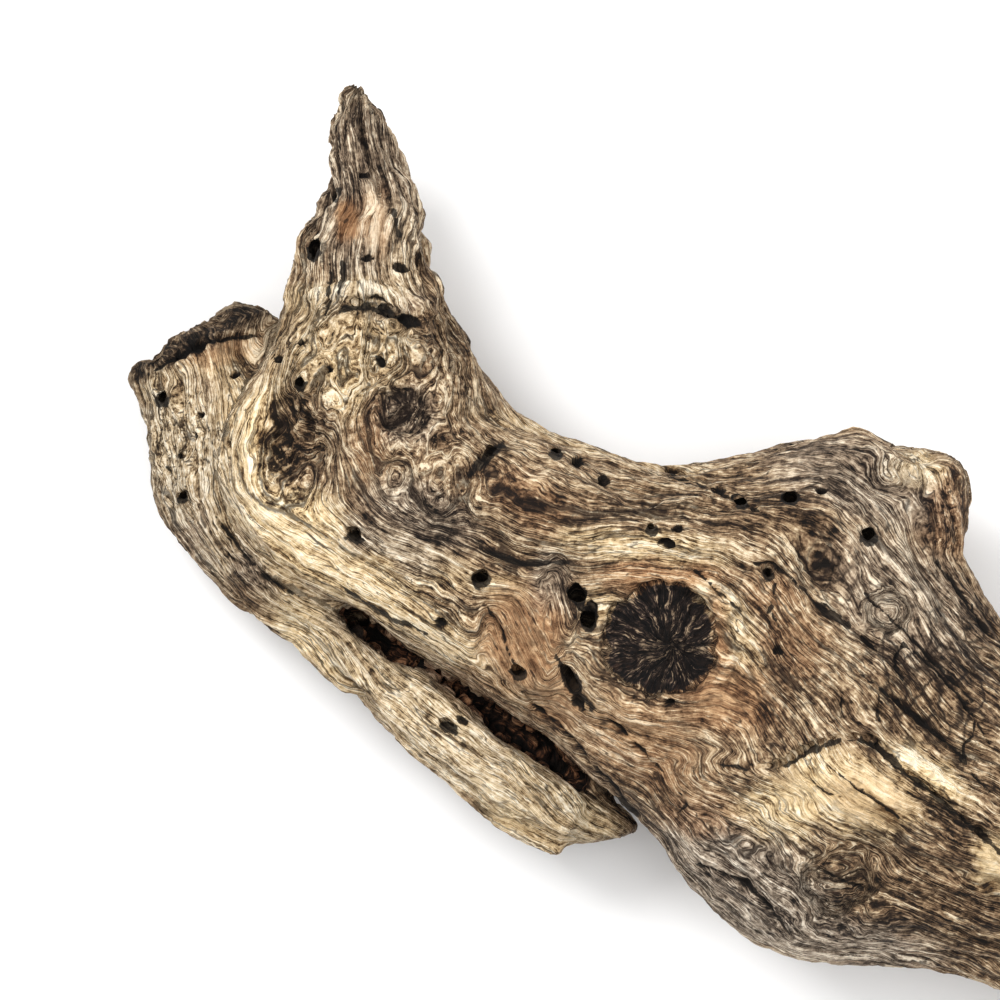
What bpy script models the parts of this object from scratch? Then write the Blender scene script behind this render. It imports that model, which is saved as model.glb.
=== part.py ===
"""A weathered piece of driftwood, about 28 cm long, lying on three low knobs of its underside.

A bent trunk runs from a splintered spike, round a knotted head, to a worn stump.
A thinner slab of outer wood follows the lower side of the trunk, split from it by a crevice.
A short branch stub stands out of the upper side.

Plan positions are in millimetres on the view from above, x to the right and y upwards.
Heights are in millimetres above the surface that the wood lies on.
"""

import math

import bmesh
import bpy
import numpy as np
from mathutils import Matrix, Vector, noise

MM = 0.001

# Stations along each limb: x and y of one edge, x and y of the other edge, underside, top.
# They follow the fibres of the wood, and each is a line across them.
TRUNK = (
    (88.0, 229.5, 90.6, 229.5, 35, 38),
    (85.0, 223.8, 95.3, 223.8, 31, 40),
    (82.6, 218.8, 97.4, 218.8, 28, 42),
    (82.0, 208.8, 101.8, 208.8, 25, 45),
    (81.0, 198.8, 106.4, 198.8, 22, 47),
    (75.2, 193.4, 107.6, 193.8, 20, 49),
    (72.2, 183.8, 108.2, 184.0, 18, 52),
    (70.8, 173.0, 112.6, 174.6, 16, 55),
    (66.0, 161.0, 117.0, 163.0, 13, 58),
    (56.5, 144.0, 121.6, 153.6, 9, 61),
    (55.2, 125.5, 129.2, 144.8, 5, 64),
    (65.4, 107.6, 139.8, 140.4, 3, 66),
    (85.0, 97.0, 153.0, 136.4, 4, 68),
    (107.0, 84.0, 167.0, 132.2, 6, 71),
    (131.0, 69.0, 184.4, 134.6, 8, 75),
    (149.0, 54.0, 200.2, 139.6, 8, 79),
    (164.4, 39.6, 215.8, 141.0, 6, 82),
    (175.0, 27.4, 229.0, 125.4, 4, 84),
    (187.5, 16.0, 240.3, 110.0, 3, 85),
    (203.4, 10.8, 249.8, 95.0, 3, 84),
    (221.2, 8.6, 261.2, 81.2, 3, 82),
    (241.0, 6.2, 273.8, 66.2, 4, 78),
    (261.2, 0.0, 286.2, 50.0, 6, 72),
    (277.5, -9.0, 298.0, 33.8, 10, 64),
    (291.0, -12.0, 305.0, 19.5, 16, 52),
    (300.0, -7.0, 309.5, 9.0, 24, 42),
)
SLAB = (
    (34.2, 160.6, 62.0, 171.6, 19, 27),
    (28.8, 155.6, 69.0, 168.0, 14, 32),
    (34.6, 145.0, 71.2, 152.0, 11, 36),
    (36.8, 130.0, 72.5, 133.0, 9, 37),
    (39.6, 118.6, 75.0, 120.0, 8, 36),
    (47.4, 107.6, 81.2, 110.0, 7, 35),
    (57.4, 97.0, 88.8, 102.5, 8, 36),
    (75.6, 89.6, 100.0, 94.0, 9, 38),
    (86.4, 73.0, 113.8, 86.2, 10, 40),
    (99.4, 60.2, 128.8, 74.0, 11, 42),
    (113.4, 51.0, 142.5, 62.0, 11, 41),
    (126.6, 42.0, 152.5, 50.0, 12, 38),
    (140.4, 37.6, 160.0, 43.4, 15, 35),
    (152.6, 38.2, 162.0, 41.4, 19, 31),
)
STUB = (
    (203.0, 134.0, 222.0, 90.0, 20, 66),
    (212.4, 143.0, 233.0, 97.0, 18, 70),
    (223.4, 137.2, 239.4, 107.0, 21, 68),
    (233.8, 136.4, 241.0, 112.8, 26, 64),
    (241.0, 133.2, 242.4, 120.0, 33, 56),
)
BARK_KNOB = (
    (53.0, 160.6, 66.0, 156.0, 14, 30),
    (55.2, 168.4, 68.8, 163.6, 15, 33),
    (58.6, 173.8, 68.0, 168.0, 19, 31),
)
# The rotten wood left under the crevice, which still joins the slab to the trunk.
WEB = (
    (78.0, 92.0, 94.0, 104.0, 10, 28),
    (86.0, 82.0, 106.0, 98.0, 8, 30),
    (100.0, 70.0, 120.0, 88.0, 8, 30),
    (114.0, 58.0, 134.0, 78.0, 9, 30),
    (126.0, 50.0, 146.0, 68.0, 10, 30),
    (136.0, 43.0, 153.0, 58.0, 13, 29),
    (144.0, 41.0, 156.0, 52.0, 17, 27),
)

# Shape of a limb's cross-section: 2 is an ellipse, more is squarer.
SQUARENESS = 2.25
POINTS_ROUND = 40
STEPS_PER_STATION = 4

# How finely the joined limbs are modelled before they are reduced to plain facets.
VOXEL = 1.3
SMOOTH_FACTOR = 0.6
OVER_ALL = 95.0
RAY_START = 200.0
BLEND_ROUNDS = 10
LIP_ROUNDS = 2
FINAL_ROUNDS = 1
FACETS = 9300

# Grain: how widely it spreads across a limb, and the size of its ridges.
GRAIN_SPREAD = 1.45
GRAIN_SPREAD_MOST = 85.0
RIDGE_WIDTH = 6.5
RIDGE_LENGTH = 46.0
RIDGE_HEIGHT = 1.75
RIDGE_CREST = 0.4
RIDGE_SHARPNESS = 3.2
SPLINTER_WIDTH = 5.0
SPLINTER_HEIGHT = 2.9
FLUTE_WIDTH = 19.0
FLUTE_LENGTH = 120.0
FLUTE_HEIGHT = 4.2
FLUTE_BIAS = 0.05
FLUTE_SHIFT = 7
LUMP_SIZE = 36.0
LUMP_HEIGHT = 1.7
# Places along the fibres, from the tip of the spike, between which the wood changes.
SPIKE_ENDS = (52.0, 72.0)
SLAB_ENDS = 190.0
STUMP_STARTS = (330.0, 360.0)
STUMP_BREAKS = (360.0, 380.0)
END_JAG = 12.0
SLAB_SPLINTERED = 0.3
SLAB_GRAIN_ACROSS = 200.0
SLAB_GRAIN_ALONG = 300.0

# The rope-like band: its height, where it lies across the trunk and how wide it is there, as
# shares of the trunk's width, and where along the fibres it rises and fades.
BAND_HEIGHT = 3.0
BAND_SHARE = 0.11
BAND_SPREAD = 0.085
BAND_RISES = (62.0, 84.0)
BAND_FADES = (150.0, 185.0)

# Which way the skin must face to count as the upper face or as the underside.
UPPER_FACE = (0.05, 0.5)
UNDER_FACE = (-0.1, -0.6)

# Knots and swellings on the upper face: centre x and y, length, width, angle in degrees.
BLACK_KNOT = (164.3, 90.5, 13.4, 13.6, 0)
ROTTEN_KNOT = (72.5, 140.6, 12.6, 15.5, 15)
LENS_KNOT = (101.2, 146.2, 8.4, 6.4, 10)
RING_KNOT = (99.0, 131.0, 5.0, 4.6, 0)
SIDE_RING_KNOT = (112.6, 133.8, 6.4, 5.4, 40)
BROWN_KNOT = (203.5, 110.5, 6.4, 10.5, 25)
GREY_KNOT = (220.5, 97.0, 6.0, 5.4, 0)
LOW_KNOT = (208.6, 31.0, 8.5, 7.5, 20)
EYE_MOUND = (131.5, 127.0, 25.0, 11.0, -24)
PALE_HUMP = (211.0, 52.0, 30.0, 14.0, -12)
BURL = (216.0, 136.0, 11.0, 6.0, -10)
PARTING_KNOTS = (
    BLACK_KNOT, ROTTEN_KNOT, LENS_KNOT, BROWN_KNOT, GREY_KNOT, LOW_KNOT, EYE_MOUND,
)
FIBRES_GATHERED = 0.8
FIBRES_REACH = 1.15
# What stands up or sinks round each: height, then where and how widely, in shares of its size.
KNOT_FORMS = (
    (BLACK_KNOT, 2.6, 0.0, 2.6), (BLACK_KNOT, 2.4, 1.28, 0.3),
    (ROTTEN_KNOT, 1.8, 1.3, 0.28), (ROTTEN_KNOT, -4.2, 0.0, 0.8),
    (LENS_KNOT, 1.1, 1.2, 0.3),
    (BROWN_KNOT, 1.0, 1.2, 0.3), (BROWN_KNOT, -2.2, 0.0, 0.7),
    (EYE_MOUND, 3.4, 0.0, 0.85), (EYE_MOUND, -1.4, 1.3, 0.2),
    (RING_KNOT, 1.3, 0.0, 0.6), (RING_KNOT, -0.9, 1.05, 0.22),
    (SIDE_RING_KNOT, 1.3, 0.0, 0.6), (SIDE_RING_KNOT, -0.9, 1.05, 0.22),
    (GREY_KNOT, 1.3, 0.0, 0.6), (GREY_KNOT, -0.9, 1.05, 0.22),
    (LOW_KNOT, 1.3, 0.0, 0.6), (LOW_KNOT, -0.9, 1.05, 0.22),
    (PALE_HUMP, 4.8, 0.0, 0.8), (BURL, 2.0, 0.0, 0.8),
)
# Knots with a flat sunken face: its depth, and where the edge of the face starts and ends.
SUNKEN_FACES = ((BLACK_KNOT, 1.9, 0.8, 1.04), (LENS_KNOT, 2.0, 0.7, 1.05))

# Foot knobs of the underside: centre x and y. Each is cut to a small flat at height 0.
FEET = ((82.0, 116.0), (228.0, 108.0), (246.0, 34.0))
FOOT_REACH = 17.0
FOOT_SPREAD = 0.75
FOOT_TIP = 0.25
FOOT_CUT = 2.4
FOOT_KEPT = 8.0
CLEAR_OF_GROUND = 2.5

# The crevice between the trunk and the slab: its line, and its half width at each point.
CREVICE_LINE = (
    (82.0, 98.6), (89.2, 94.6), (94.4, 89.6), (100.0, 85.6), (106.0, 82.6), (113.0, 77.6),
    (120.0, 72.2), (127.6, 66.6), (135.2, 62.4), (140.4, 57.8), (147.2, 51.2), (162.4, 38.6),
)
CREVICE_HALF_WIDTHS = (0.8, 3.0, 3.4, 2.6, 1.8, 2.0, 2.9, 3.9, 4.6, 3.2, 1.5, 1.2)
CREVICE_FLOOR = 21.0
CREVICE_END_RISE = 6.0
CREVICE_FOOT_SHARE = 0.8
CREVICE_REACH = 8.0
CREVICE_INSIDE = (0.2, 1.6)
CREVICE_WALL = (0.85, 0.45)
CALMED = 0.95

# Cracks: half width at the middle, depth, and the line that each follows.
CRACK_FOOT_SHARE = 0.35
CRACK_END_SHARE = 0.3
STEPS_PER_BEND = 3
THINNEST_CUT = 0.25
OVER_CRACK = 6.0
CRACKS = (
    (1.1, 5.0, ((84.0, 171.6), (90.0, 173.4), (97.0, 171.6), (105.6, 168.6))),
    (1.3, 5.5, ((116.4, 130.6), (121.6, 135.6), (126.6, 139.8))),
    (0.8, 3.5, ((120.0, 114.0), (129.6, 110.2), (142.0, 109.6))),
    (1.1, 6.0, ((178.0, 60.0), (192.0, 58.6), (204.0, 64.6), (216.0, 65.4), (226.0, 57.0),
                (238.0, 47.4), (250.0, 37.0), (262.0, 26.6))),
    (0.9, 4.0, ((199.0, 104.0), (204.0, 98.4), (212.0, 93.6))),
    (0.8, 4.0, ((84.6, 104.0), (96.0, 96.0), (108.0, 91.0))),
    (1.0, 4.5, ((139.0, 86.0), (143.0, 79.0), (149.0, 72.0))),
    (0.9, 4.0, ((86.0, 186.5), (85.8, 181.0), (84.8, 175.4))),
    (1.0, 4.0, ((98.2, 197.6), (100.6, 188.6))),
)

# Worm holes: centre x and y, half length, half width, bearing of the length in degrees, depth.
WORM_HOLES = (
    (216.3, 115.7, 2.0, 1.9, 0, 11), (196.8, 125.4, 1.9, 1.6, -20, 9),
    (184.4, 123.7, 1.6, 1.5, 0, 8), (191.3, 106.6, 1.8, 1.4, -60, 9),
    (89.0, 115.6, 2.0, 1.5, -35, 9), (120.3, 105.0, 2.4, 1.9, 15, 9),
    (144.2, 101.6, 3.0, 1.9, -75, 10), (146.8, 94.6, 2.3, 1.8, -60, 12),
    (129.6, 81.8, 1.8, 1.5, -30, 9), (142.6, 80.2, 3.8, 1.8, -65, 8),
    (139.0, 136.6, 1.6, 1.3, -20, 8), (79.0, 187.4, 2.8, 1.9, 80, 8),
    (89.4, 93.8, 2.1, 2.0, 0, 12), (40.2, 150.0, 1.6, 1.5, 0, 7),
    (45.6, 125.2, 1.5, 1.3, 60, 6), (112.0, 68.2, 2.4, 1.3, -25, 6),
    (75.4, 153.6, 1.4, 1.3, 0, 5), (162.6, 117.4, 1.4, 1.2, 0, 5),
)
HOLE_SIDES = 11
HOLE_RAGGEDNESS = 0.13
HOLE_FLARE = 1.1
HOLE_FOOT_SHARE = 0.7
HOLE_LEAN = 1.5
OVER_HOLE = 1.5

# The block that trims the feet lies just under height 0.
GROUND_SIZE = (400.0, 400.0, 20.0)
GROUND_MIDDLE = (160.0, 110.0, -10.0)

GREY_BROWN = (0.36, 0.27, 0.17, 1)
DRY_ROUGHNESS = 0.85


def clear_scene():
    for obj in list(bpy.data.objects):
        bpy.data.objects.remove(obj)


def smooth_rows(rows, steps):
    """Rows spaced along a smooth curve through the given rows, steps to each span."""
    rows = np.array(rows, float)
    first, last = 2 * rows[0] - rows[1], 2 * rows[-1] - rows[-2]
    padded = np.vstack([first, rows, last])
    made = []
    for i in range(1, len(padded) - 2):
        a, b, c, d = padded[i - 1 : i + 3]
        for t in np.arange(steps) / steps:
            made.append(
                b
                + 0.5 * t * (c - a)
                + t * t * (a - 2.5 * b + 2 * c - 0.5 * d)
                + t**3 * (1.5 * (b - c) + 0.5 * (d - a))
            )
    made.append(rows[-1])
    return np.array(made)


def squared(value):
    """Cosine or sine of an angle, bent so that a ring becomes a squarer oval."""
    return math.copysign(abs(value) ** (2 / SQUARENESS), value)


def limb(name, stations):
    """A closed tube with an oval ring at each station, seen from above edge to edge."""
    mesh = bmesh.new()
    rings = []
    for x0, y0, x1, y1, low, high in smooth_rows(stations, STEPS_PER_STATION):
        ring = []
        for k in range(POINTS_ROUND):
            angle = math.tau * k / POINTS_ROUND
            out, up = squared(math.cos(angle)), squared(math.sin(angle))
            x = (x0 + x1) / 2 + out * (x1 - x0) / 2
            y = (y0 + y1) / 2 + out * (y1 - y0) / 2
            z = (low + high) / 2 + up * (high - low) / 2
            ring.append(mesh.verts.new((x, y, z)))
        rings.append(ring)
    for ring, after in zip(rings, rings[1:]):
        for k in range(POINTS_ROUND):
            n = (k + 1) % POINTS_ROUND
            mesh.faces.new((ring[k], ring[n], after[n], after[k]))
    mesh.faces.new(rings[0])
    mesh.faces.new(reversed(rings[-1]))
    bmesh.ops.recalc_face_normals(mesh, faces=mesh.faces)
    return linked(name, mesh)


def linked(name, mesh):
    """An object in the scene made from a bmesh."""
    data = bpy.data.meshes.new(name)
    mesh.to_mesh(data)
    mesh.free()
    obj = bpy.data.objects.new(name, data)
    bpy.context.scene.collection.objects.link(obj)
    return obj


def apply_modifiers(obj):
    """Makes what the modifiers show the object's own mesh."""
    graph = bpy.context.evaluated_depsgraph_get()
    obj.data = bpy.data.meshes.new_from_object(obj.evaluated_get(graph))
    obj.modifiers.clear()


def new_skin(body, smoothing_rounds):
    """An even skin over the body, smoothed, which closes in what overlaps."""
    skin = body.modifiers.new("skin", "REMESH")
    skin.mode = "VOXEL"
    skin.voxel_size = VOXEL
    smooth = body.modifiers.new("smooth", "SMOOTH")
    smooth.factor = SMOOTH_FACTOR
    smooth.iterations = smoothing_rounds
    apply_modifiers(body)


def grown_together(limbs):
    """The limbs as one body, with soft hollows where they meet."""
    for obj in bpy.data.objects:
        obj.select_set(obj in limbs)
    bpy.context.view_layer.objects.active = limbs[0]
    bpy.ops.object.join()
    body = limbs[0]
    body.name = "driftwood"
    new_skin(body, BLEND_ROUNDS)
    return body


def fan_coordinates(plan, stations):
    """For each plan point, how far along and across the fibres it lies in a limb.

    The stations open like a fan. A point lies between the last one that it is past
    and the next. Returned are the distance along, the distance across and the share
    of the way from the first edge to the other.
    """
    rows = smooth_rows(stations, STEPS_PER_STATION)
    start, end = rows[:, 0:2], rows[:, 2:4]
    gate = end - start
    width = np.linalg.norm(gate, axis=1)
    offset = plan[:, None, :] - start[None]
    past = (gate[None, :, 1] * offset[..., 0] - gate[None, :, 0] * offset[..., 1]) / width
    crossed = (past[:, :-1] > 0) & (past[:, 1:] <= 0)
    k = np.where(crossed.any(1), crossed.argmax(1), np.where(past[:, 0] > 0, len(rows) - 2, 0))
    each = np.arange(len(plan))
    near, far = past[each, k], past[each, k + 1]
    part = np.clip(near / np.where(abs(near - far) < 1e-6, 1.0, near - far), 0, 1)[:, None]
    from_edge = start[k] * (1 - part) + start[k + 1] * part
    to_edge = end[k] * (1 - part) + end[k + 1] * part
    span = to_edge - from_edge
    share = ((plan - from_edge) * span).sum(1) / (span * span).sum(1)
    middle = (start + end) / 2
    lengths = np.append(0, np.linalg.norm(np.diff(middle, axis=0), axis=1)).cumsum()
    along = lengths[k] * (1 - part[:, 0]) + lengths[k + 1] * part[:, 0]
    spread = np.minimum(GRAIN_SPREAD * np.linalg.norm(span, axis=1), GRAIN_SPREAD_MOST)
    return along, (share - 0.5) * spread, share


def oval_distance(plan, knot):
    """Distance from a knot's centre, as a share of its own size in that direction."""
    x, y, length, width, degrees = knot
    turn = math.radians(degrees)
    dx, dy = plan[:, 0] - x, plan[:, 1] - y
    u = dx * math.cos(turn) + dy * math.sin(turn)
    v = dy * math.cos(turn) - dx * math.sin(turn)
    return np.hypot(u / length, v / width)


def bump(distance, at=0.0, spread=1.0):
    return np.exp(-(((distance - at) / spread) ** 2))


def step(low, high, value):
    t = np.clip((value - low) / (high - low), 0, 1)
    return t * t * (3 - 2 * t)


def noise_at(points):
    return np.array([noise.noise(Vector(p)) for p in points])


def grain_around_knots(plan, across):
    """The distance across the grain, with the fibres parted around each knot."""
    for knot in PARTING_KNOTS:
        reach = oval_distance(plan, knot)
        middle = across[reach.argmin()]
        gathered = FIBRES_GATHERED * bump(reach, 0, FIBRES_REACH)
        across = middle + (across - middle) * (1 - gathered)
    return across


def grain_ridges(points):
    """Height of the long ridges and furrows that follow the fibres."""
    plan = points[:, :2]
    along, across, share = fan_coordinates(plan, TRUNK)
    slab_along, slab_across, _ = fan_coordinates(plan, SLAB)
    slab = (share < 0) & (along < SLAB_ENDS)
    across = np.where(slab, slab_across + SLAB_GRAIN_ACROSS, grain_around_knots(plan, across))
    along = np.where(slab, slab_along + SLAB_GRAIN_ALONG, along)
    middle = step(*SPIKE_ENDS, along) * (1 - step(*STUMP_STARTS, along))
    ends = np.where(slab, SLAB_SPLINTERED, 1 - middle)
    width = RIDGE_WIDTH + (SPLINTER_WIDTH - RIDGE_WIDTH) * ends
    height = RIDGE_HEIGHT + (SPLINTER_HEIGHT - RIDGE_HEIGHT) * ends
    wave = noise_at(np.stack([across / width, points[:, 2] / width, along / RIDGE_LENGTH], 1))
    flute = noise_at(
        np.stack([across, points[:, 2], along * FLUTE_WIDTH / FLUTE_LENGTH], 1) / FLUTE_WIDTH + FLUTE_SHIFT
    )
    jag = step(*STUMP_BREAKS, along) * END_JAG
    ridges = height * (RIDGE_CREST - RIDGE_SHARPNESS * abs(wave))
    return ridges + FLUTE_HEIGHT * (flute - FLUTE_BIAS) + jag * wave


def band_height(plan):
    """The rope-like band of straight fibres that sweeps round the outside of the head."""
    along, _, share = fan_coordinates(plan, TRUNK)
    middle = step(*BAND_RISES, along) * (1 - step(*BAND_FADES, along))
    return BAND_HEIGHT * bump(share, BAND_SHARE, BAND_SPREAD) * middle


def knot_heights(plan):
    """Hollows, collars and swellings of the upper face."""
    height = np.zeros(len(plan))
    for knot, tall, at, spread in KNOT_FORMS:
        height += tall * bump(oval_distance(plan, knot), at, spread)
    for knot, depth, start, end in SUNKEN_FACES:
        height -= depth * (1 - step(start, end, oval_distance(plan, knot)))
    return height


def crevice_calm(points, normals):
    """1 on open wood, and near 0 on the floor and walls of the crevice, which stays open."""
    rows = [(x, y, half) for (x, y), half in zip(CREVICE_LINE, CREVICE_HALF_WIDTHS)]
    rows = smooth_rows(rows, STEPS_PER_STATION)
    apart = np.linalg.norm(points[:, None, :2] - rows[None, :, :2], axis=2)
    inside = 1 - step(*CREVICE_INSIDE, (apart - rows[None, :, 2]).min(1))
    wall = step(*CREVICE_WALL, abs(normals[:, 2])) * bump(apart.min(1), 0, CREVICE_REACH)
    return 1 - CALMED * np.maximum(inside, wall)


def carve(body):
    """Moves the skin in and out along its normals, by the ridges, knots and lumps."""
    count = len(body.data.vertices)
    points = np.empty(count * 3)
    body.data.vertices.foreach_get("co", points)
    points = points.reshape(-1, 3)
    normals = np.array([n.vector for n in body.data.vertex_normals])
    upper = step(*UPPER_FACE, normals[:, 2])
    plan = points[:, :2]
    height = grain_ridges(points) + LUMP_HEIGHT * noise_at(points / LUMP_SIZE)
    height += upper * (knot_heights(plan) + band_height(plan))
    height *= crevice_calm(points, normals)
    points = points + normals * height[:, None]
    points[:, 2] -= foot_drops(points, normals)
    body.data.vertices.foreach_set("co", points.ravel())
    body.data.update()


def foot_drops(points, normals):
    """How far the underside comes down round each foot, to end just under height 0."""
    under = step(*UNDER_FACE, normals[:, 2])
    drop, near_foot = np.zeros((2, len(points)))
    for x, y in FEET:
        reach = np.hypot(points[:, 0] - x, points[:, 1] - y) / FOOT_REACH
        lowest = points[(reach < FOOT_TIP) & (under > 0.5), 2].min()
        drop += under * bump(reach, 0, FOOT_SPREAD) * (lowest + FOOT_CUT)
        near_foot += bump(reach * FOOT_REACH / FOOT_KEPT)
    lifted = under * np.clip(CLEAR_OF_GROUND - (points[:, 2] - drop), 0, None)
    return drop - lifted * (1 - np.clip(near_foot, 0, 1))


def reduce_to_facets(body):
    """Fewer, larger facets, kept small where the shape turns quickly."""
    mesh = bmesh.new()
    mesh.from_mesh(body.data)
    bmesh.ops.triangulate(mesh, faces=mesh.faces)
    mesh.to_mesh(body.data)
    mesh.free()
    fewer = body.modifiers.new("fewer", "DECIMATE")
    fewer.ratio = FACETS / len(body.data.polygons)
    apply_modifiers(body)


def surface_point(body, x, y):
    """The highest point of the wood at a plan position, and its outward normal."""
    found, point, normal, _ = body.ray_cast(Vector((x, y, RAY_START)), Vector((0, 0, -1)))
    if not found:
        raise ValueError(f"no wood at {x}, {y}")
    return point, normal


def as_cutter(obj, cutters):
    obj.hide_render = True
    obj.display_type = "WIRE"
    bpy.context.scene.collection.objects.unlink(obj)
    cutters.objects.link(obj)
    return obj


def cut(body, cutters):
    modifier = body.modifiers.new(cutters.name, "BOOLEAN")
    modifier.operation = "DIFFERENCE"
    modifier.operand_type = "COLLECTION"
    modifier.collection = cutters
    modifier.solver = "EXACT"


def drop_scraps(body):
    """Deletes the loose chips that a cut leaves, and keeps the largest piece."""
    mesh = bmesh.new()
    mesh.from_mesh(body.data)
    left, pieces = set(mesh.faces), []
    while left:
        piece, edge_of_piece = set(), [left.pop()]
        while edge_of_piece:
            face = edge_of_piece.pop()
            piece.add(face)
            for edge in face.edges:
                edge_of_piece.extend(other for other in edge.link_faces if other in left)
                left.difference_update(edge.link_faces)
        pieces.append(piece)
    pieces.sort(key=len)
    chips = [face for piece in pieces[:-1] for face in piece]
    bmesh.ops.delete(mesh, geom=chips, context="FACES")
    mesh.to_mesh(body.data)
    mesh.free()


def close_pinches(body):
    """Draws together each edge where two parts of the skin touch, so that it has two faces."""
    mesh = bmesh.new()
    mesh.from_mesh(body.data)
    bmesh.ops.triangulate(mesh, faces=mesh.faces)
    pinched = [edge for edge in mesh.edges if len(edge.link_faces) > 2]
    while pinched:
        bmesh.ops.collapse(mesh, edges=pinched)
        pinched = [edge for edge in mesh.edges if len(edge.link_faces) > 2]
    mesh.to_mesh(body.data)
    mesh.free()


def blade(name, rows, top, foot_share):
    """A cutter along rows of x, y, half width and floor, from its floor up to its top.

    Its foot is narrower than its top, by the share given.
    """
    directions = np.gradient(rows[:, :2], axis=0)
    directions /= np.linalg.norm(directions, axis=1)[:, None]
    mesh = bmesh.new()
    rings = []
    for (x, y, half, floor), (dx, dy) in zip(rows, directions):
        side = Vector((-dy, dx, 0))
        middle = Vector((x, y, 0))
        half = max(half, THINNEST_CUT)
        foot = middle + Vector((0, 0, floor))
        head = middle + Vector((0, 0, top))
        rings.append(
            [
                mesh.verts.new(foot - side * half * foot_share),
                mesh.verts.new(foot + side * half * foot_share),
                mesh.verts.new(head + side * half),
                mesh.verts.new(head - side * half),
            ]
        )
    for ring, after in zip(rings, rings[1:]):
        for k in range(4):
            n = (k + 1) % 4
            mesh.faces.new((ring[k], ring[n], after[n], after[k]))
    mesh.faces.new(rings[0])
    mesh.faces.new(reversed(rings[-1]))
    bmesh.ops.recalc_face_normals(mesh, faces=mesh.faces)
    return linked(name, mesh)


def split_off_slab(body):
    """Cuts the crevice between the trunk and the slab, and wears its lips round."""
    last = len(CREVICE_LINE) - 1
    rows = [
        (x, y, half, CREVICE_FLOOR + (CREVICE_END_RISE if i in (0, last) else 0))
        for i, ((x, y), half) in enumerate(zip(CREVICE_LINE, CREVICE_HALF_WIDTHS))
    ]
    crevice = bpy.data.collections.new("crevice")
    bpy.context.scene.collection.children.link(crevice)
    wedge = blade("crevice", smooth_rows(rows, STEPS_PER_BEND), OVER_ALL, CREVICE_FOOT_SHARE)
    as_cutter(wedge, crevice)
    cut(body, crevice)
    apply_modifiers(body)
    drop_scraps(body)
    new_skin(body, LIP_ROUNDS)


def crack_cutters(body, cutters):
    """One blade for each crack, with its ends pinched and its floor following the skin."""
    for number, (half_width, depth, line) in enumerate(CRACKS):
        last = len(line) - 1
        shares = [CRACK_END_SHARE if i in (0, last) else 1.0 for i in range(last + 1)]
        rows = [(x, y, half_width * share, depth * share) for (x, y), share in zip(line, shares)]
        rows = smooth_rows(rows, STEPS_PER_BEND)
        heights = np.array([surface_point(body, x, y)[0].z for x, y in rows[:, :2]])
        rows[:, 3] = heights - rows[:, 3]
        top = heights.max() + OVER_CRACK
        as_cutter(blade(f"crack_{number}", rows, top, CRACK_FOOT_SHARE), cutters)


def hole_cutters(body, cutters):
    """A tapered, slightly ragged oval drill for each worm hole, nearly square to the skin."""
    for number, (x, y, half_length, half_width, bearing, depth) in enumerate(WORM_HOLES):
        point, normal = surface_point(body, x, y)
        axis = (normal + Vector((0, 0, HOLE_LEAN))).normalized()
        mesh = bmesh.new()
        bmesh.ops.create_cone(
            mesh, cap_ends=True, segments=HOLE_SIDES,
            radius1=HOLE_FOOT_SHARE, radius2=HOLE_FLARE, depth=depth + 2 * OVER_HOLE,
        )
        for vert in mesh.verts:
            side = math.atan2(vert.co.y, vert.co.x)
            ragged = 1 + HOLE_RAGGEDNESS * math.sin(3 * side + number)
            vert.co.x *= ragged * half_length
            vert.co.y *= ragged * half_width
        turned = Matrix.Rotation(math.radians(bearing), 3, "Z")
        bmesh.ops.rotate(mesh, verts=mesh.verts, cent=(0, 0, 0), matrix=turned)
        drill = linked(f"worm_hole_{number}", mesh)
        drill.rotation_mode = "QUATERNION"
        drill.rotation_quaternion = Vector((0, 0, 1)).rotation_difference(axis)
        drill.location = point + axis * (OVER_HOLE - depth / 2)
        as_cutter(drill, cutters)


def floor_cutter(cutters):
    """A block under height 0, which leaves a small flat on each foot."""
    mesh = bmesh.new()
    bmesh.ops.create_cube(mesh, size=1.0)
    block = linked("ground", mesh)
    block.scale = GROUND_SIZE
    block.location = GROUND_MIDDLE
    as_cutter(block, cutters)


def weathered_wood():
    """Grey-brown, dry and matt."""
    material = bpy.data.materials.new("weathered_wood")
    material.use_nodes = True
    shader = material.node_tree.nodes["Principled BSDF"]
    shader.inputs["Base Color"].default_value = GREY_BROWN
    shader.inputs["Roughness"].default_value = DRY_ROUGHNESS
    shader.inputs["Metallic"].default_value = 0.0
    return material


def set_in_frame(body):
    """Hangs the wood and its cutters on an empty that puts the middle of its base at 0, 0, 0."""
    corners = np.array([v.co for v in body.data.vertices])
    middle = (corners.min(0) + corners.max(0)) / 2
    plan = bpy.data.objects.new("plan", None)
    bpy.context.scene.collection.objects.link(plan)
    plan.scale = (MM, MM, MM)
    plan.location = (-middle[0] * MM, -middle[1] * MM, 0)
    for obj in bpy.data.objects:
        if obj is not plan:
            obj.parent = plan


def main():
    clear_scene()
    limbs = [
        limb("trunk", TRUNK),
        limb("slab", SLAB),
        limb("stub", STUB),
        limb("bark_knob", BARK_KNOB),
        limb("web", WEB),
    ]
    body = grown_together(limbs)
    split_off_slab(body)
    carve(body)
    new_skin(body, FINAL_ROUNDS)
    reduce_to_facets(body)
    cutters = bpy.data.collections.new("cutters")
    bpy.context.scene.collection.children.link(cutters)
    crack_cutters(body, cutters)
    hole_cutters(body, cutters)
    floor_cutter(cutters)
    cut(body, cutters)
    apply_modifiers(body)
    close_pinches(body)
    drop_scraps(body)
    set_in_frame(body)
    body.data.materials.clear()
    body.data.materials.append(weathered_wood())


main()
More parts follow.
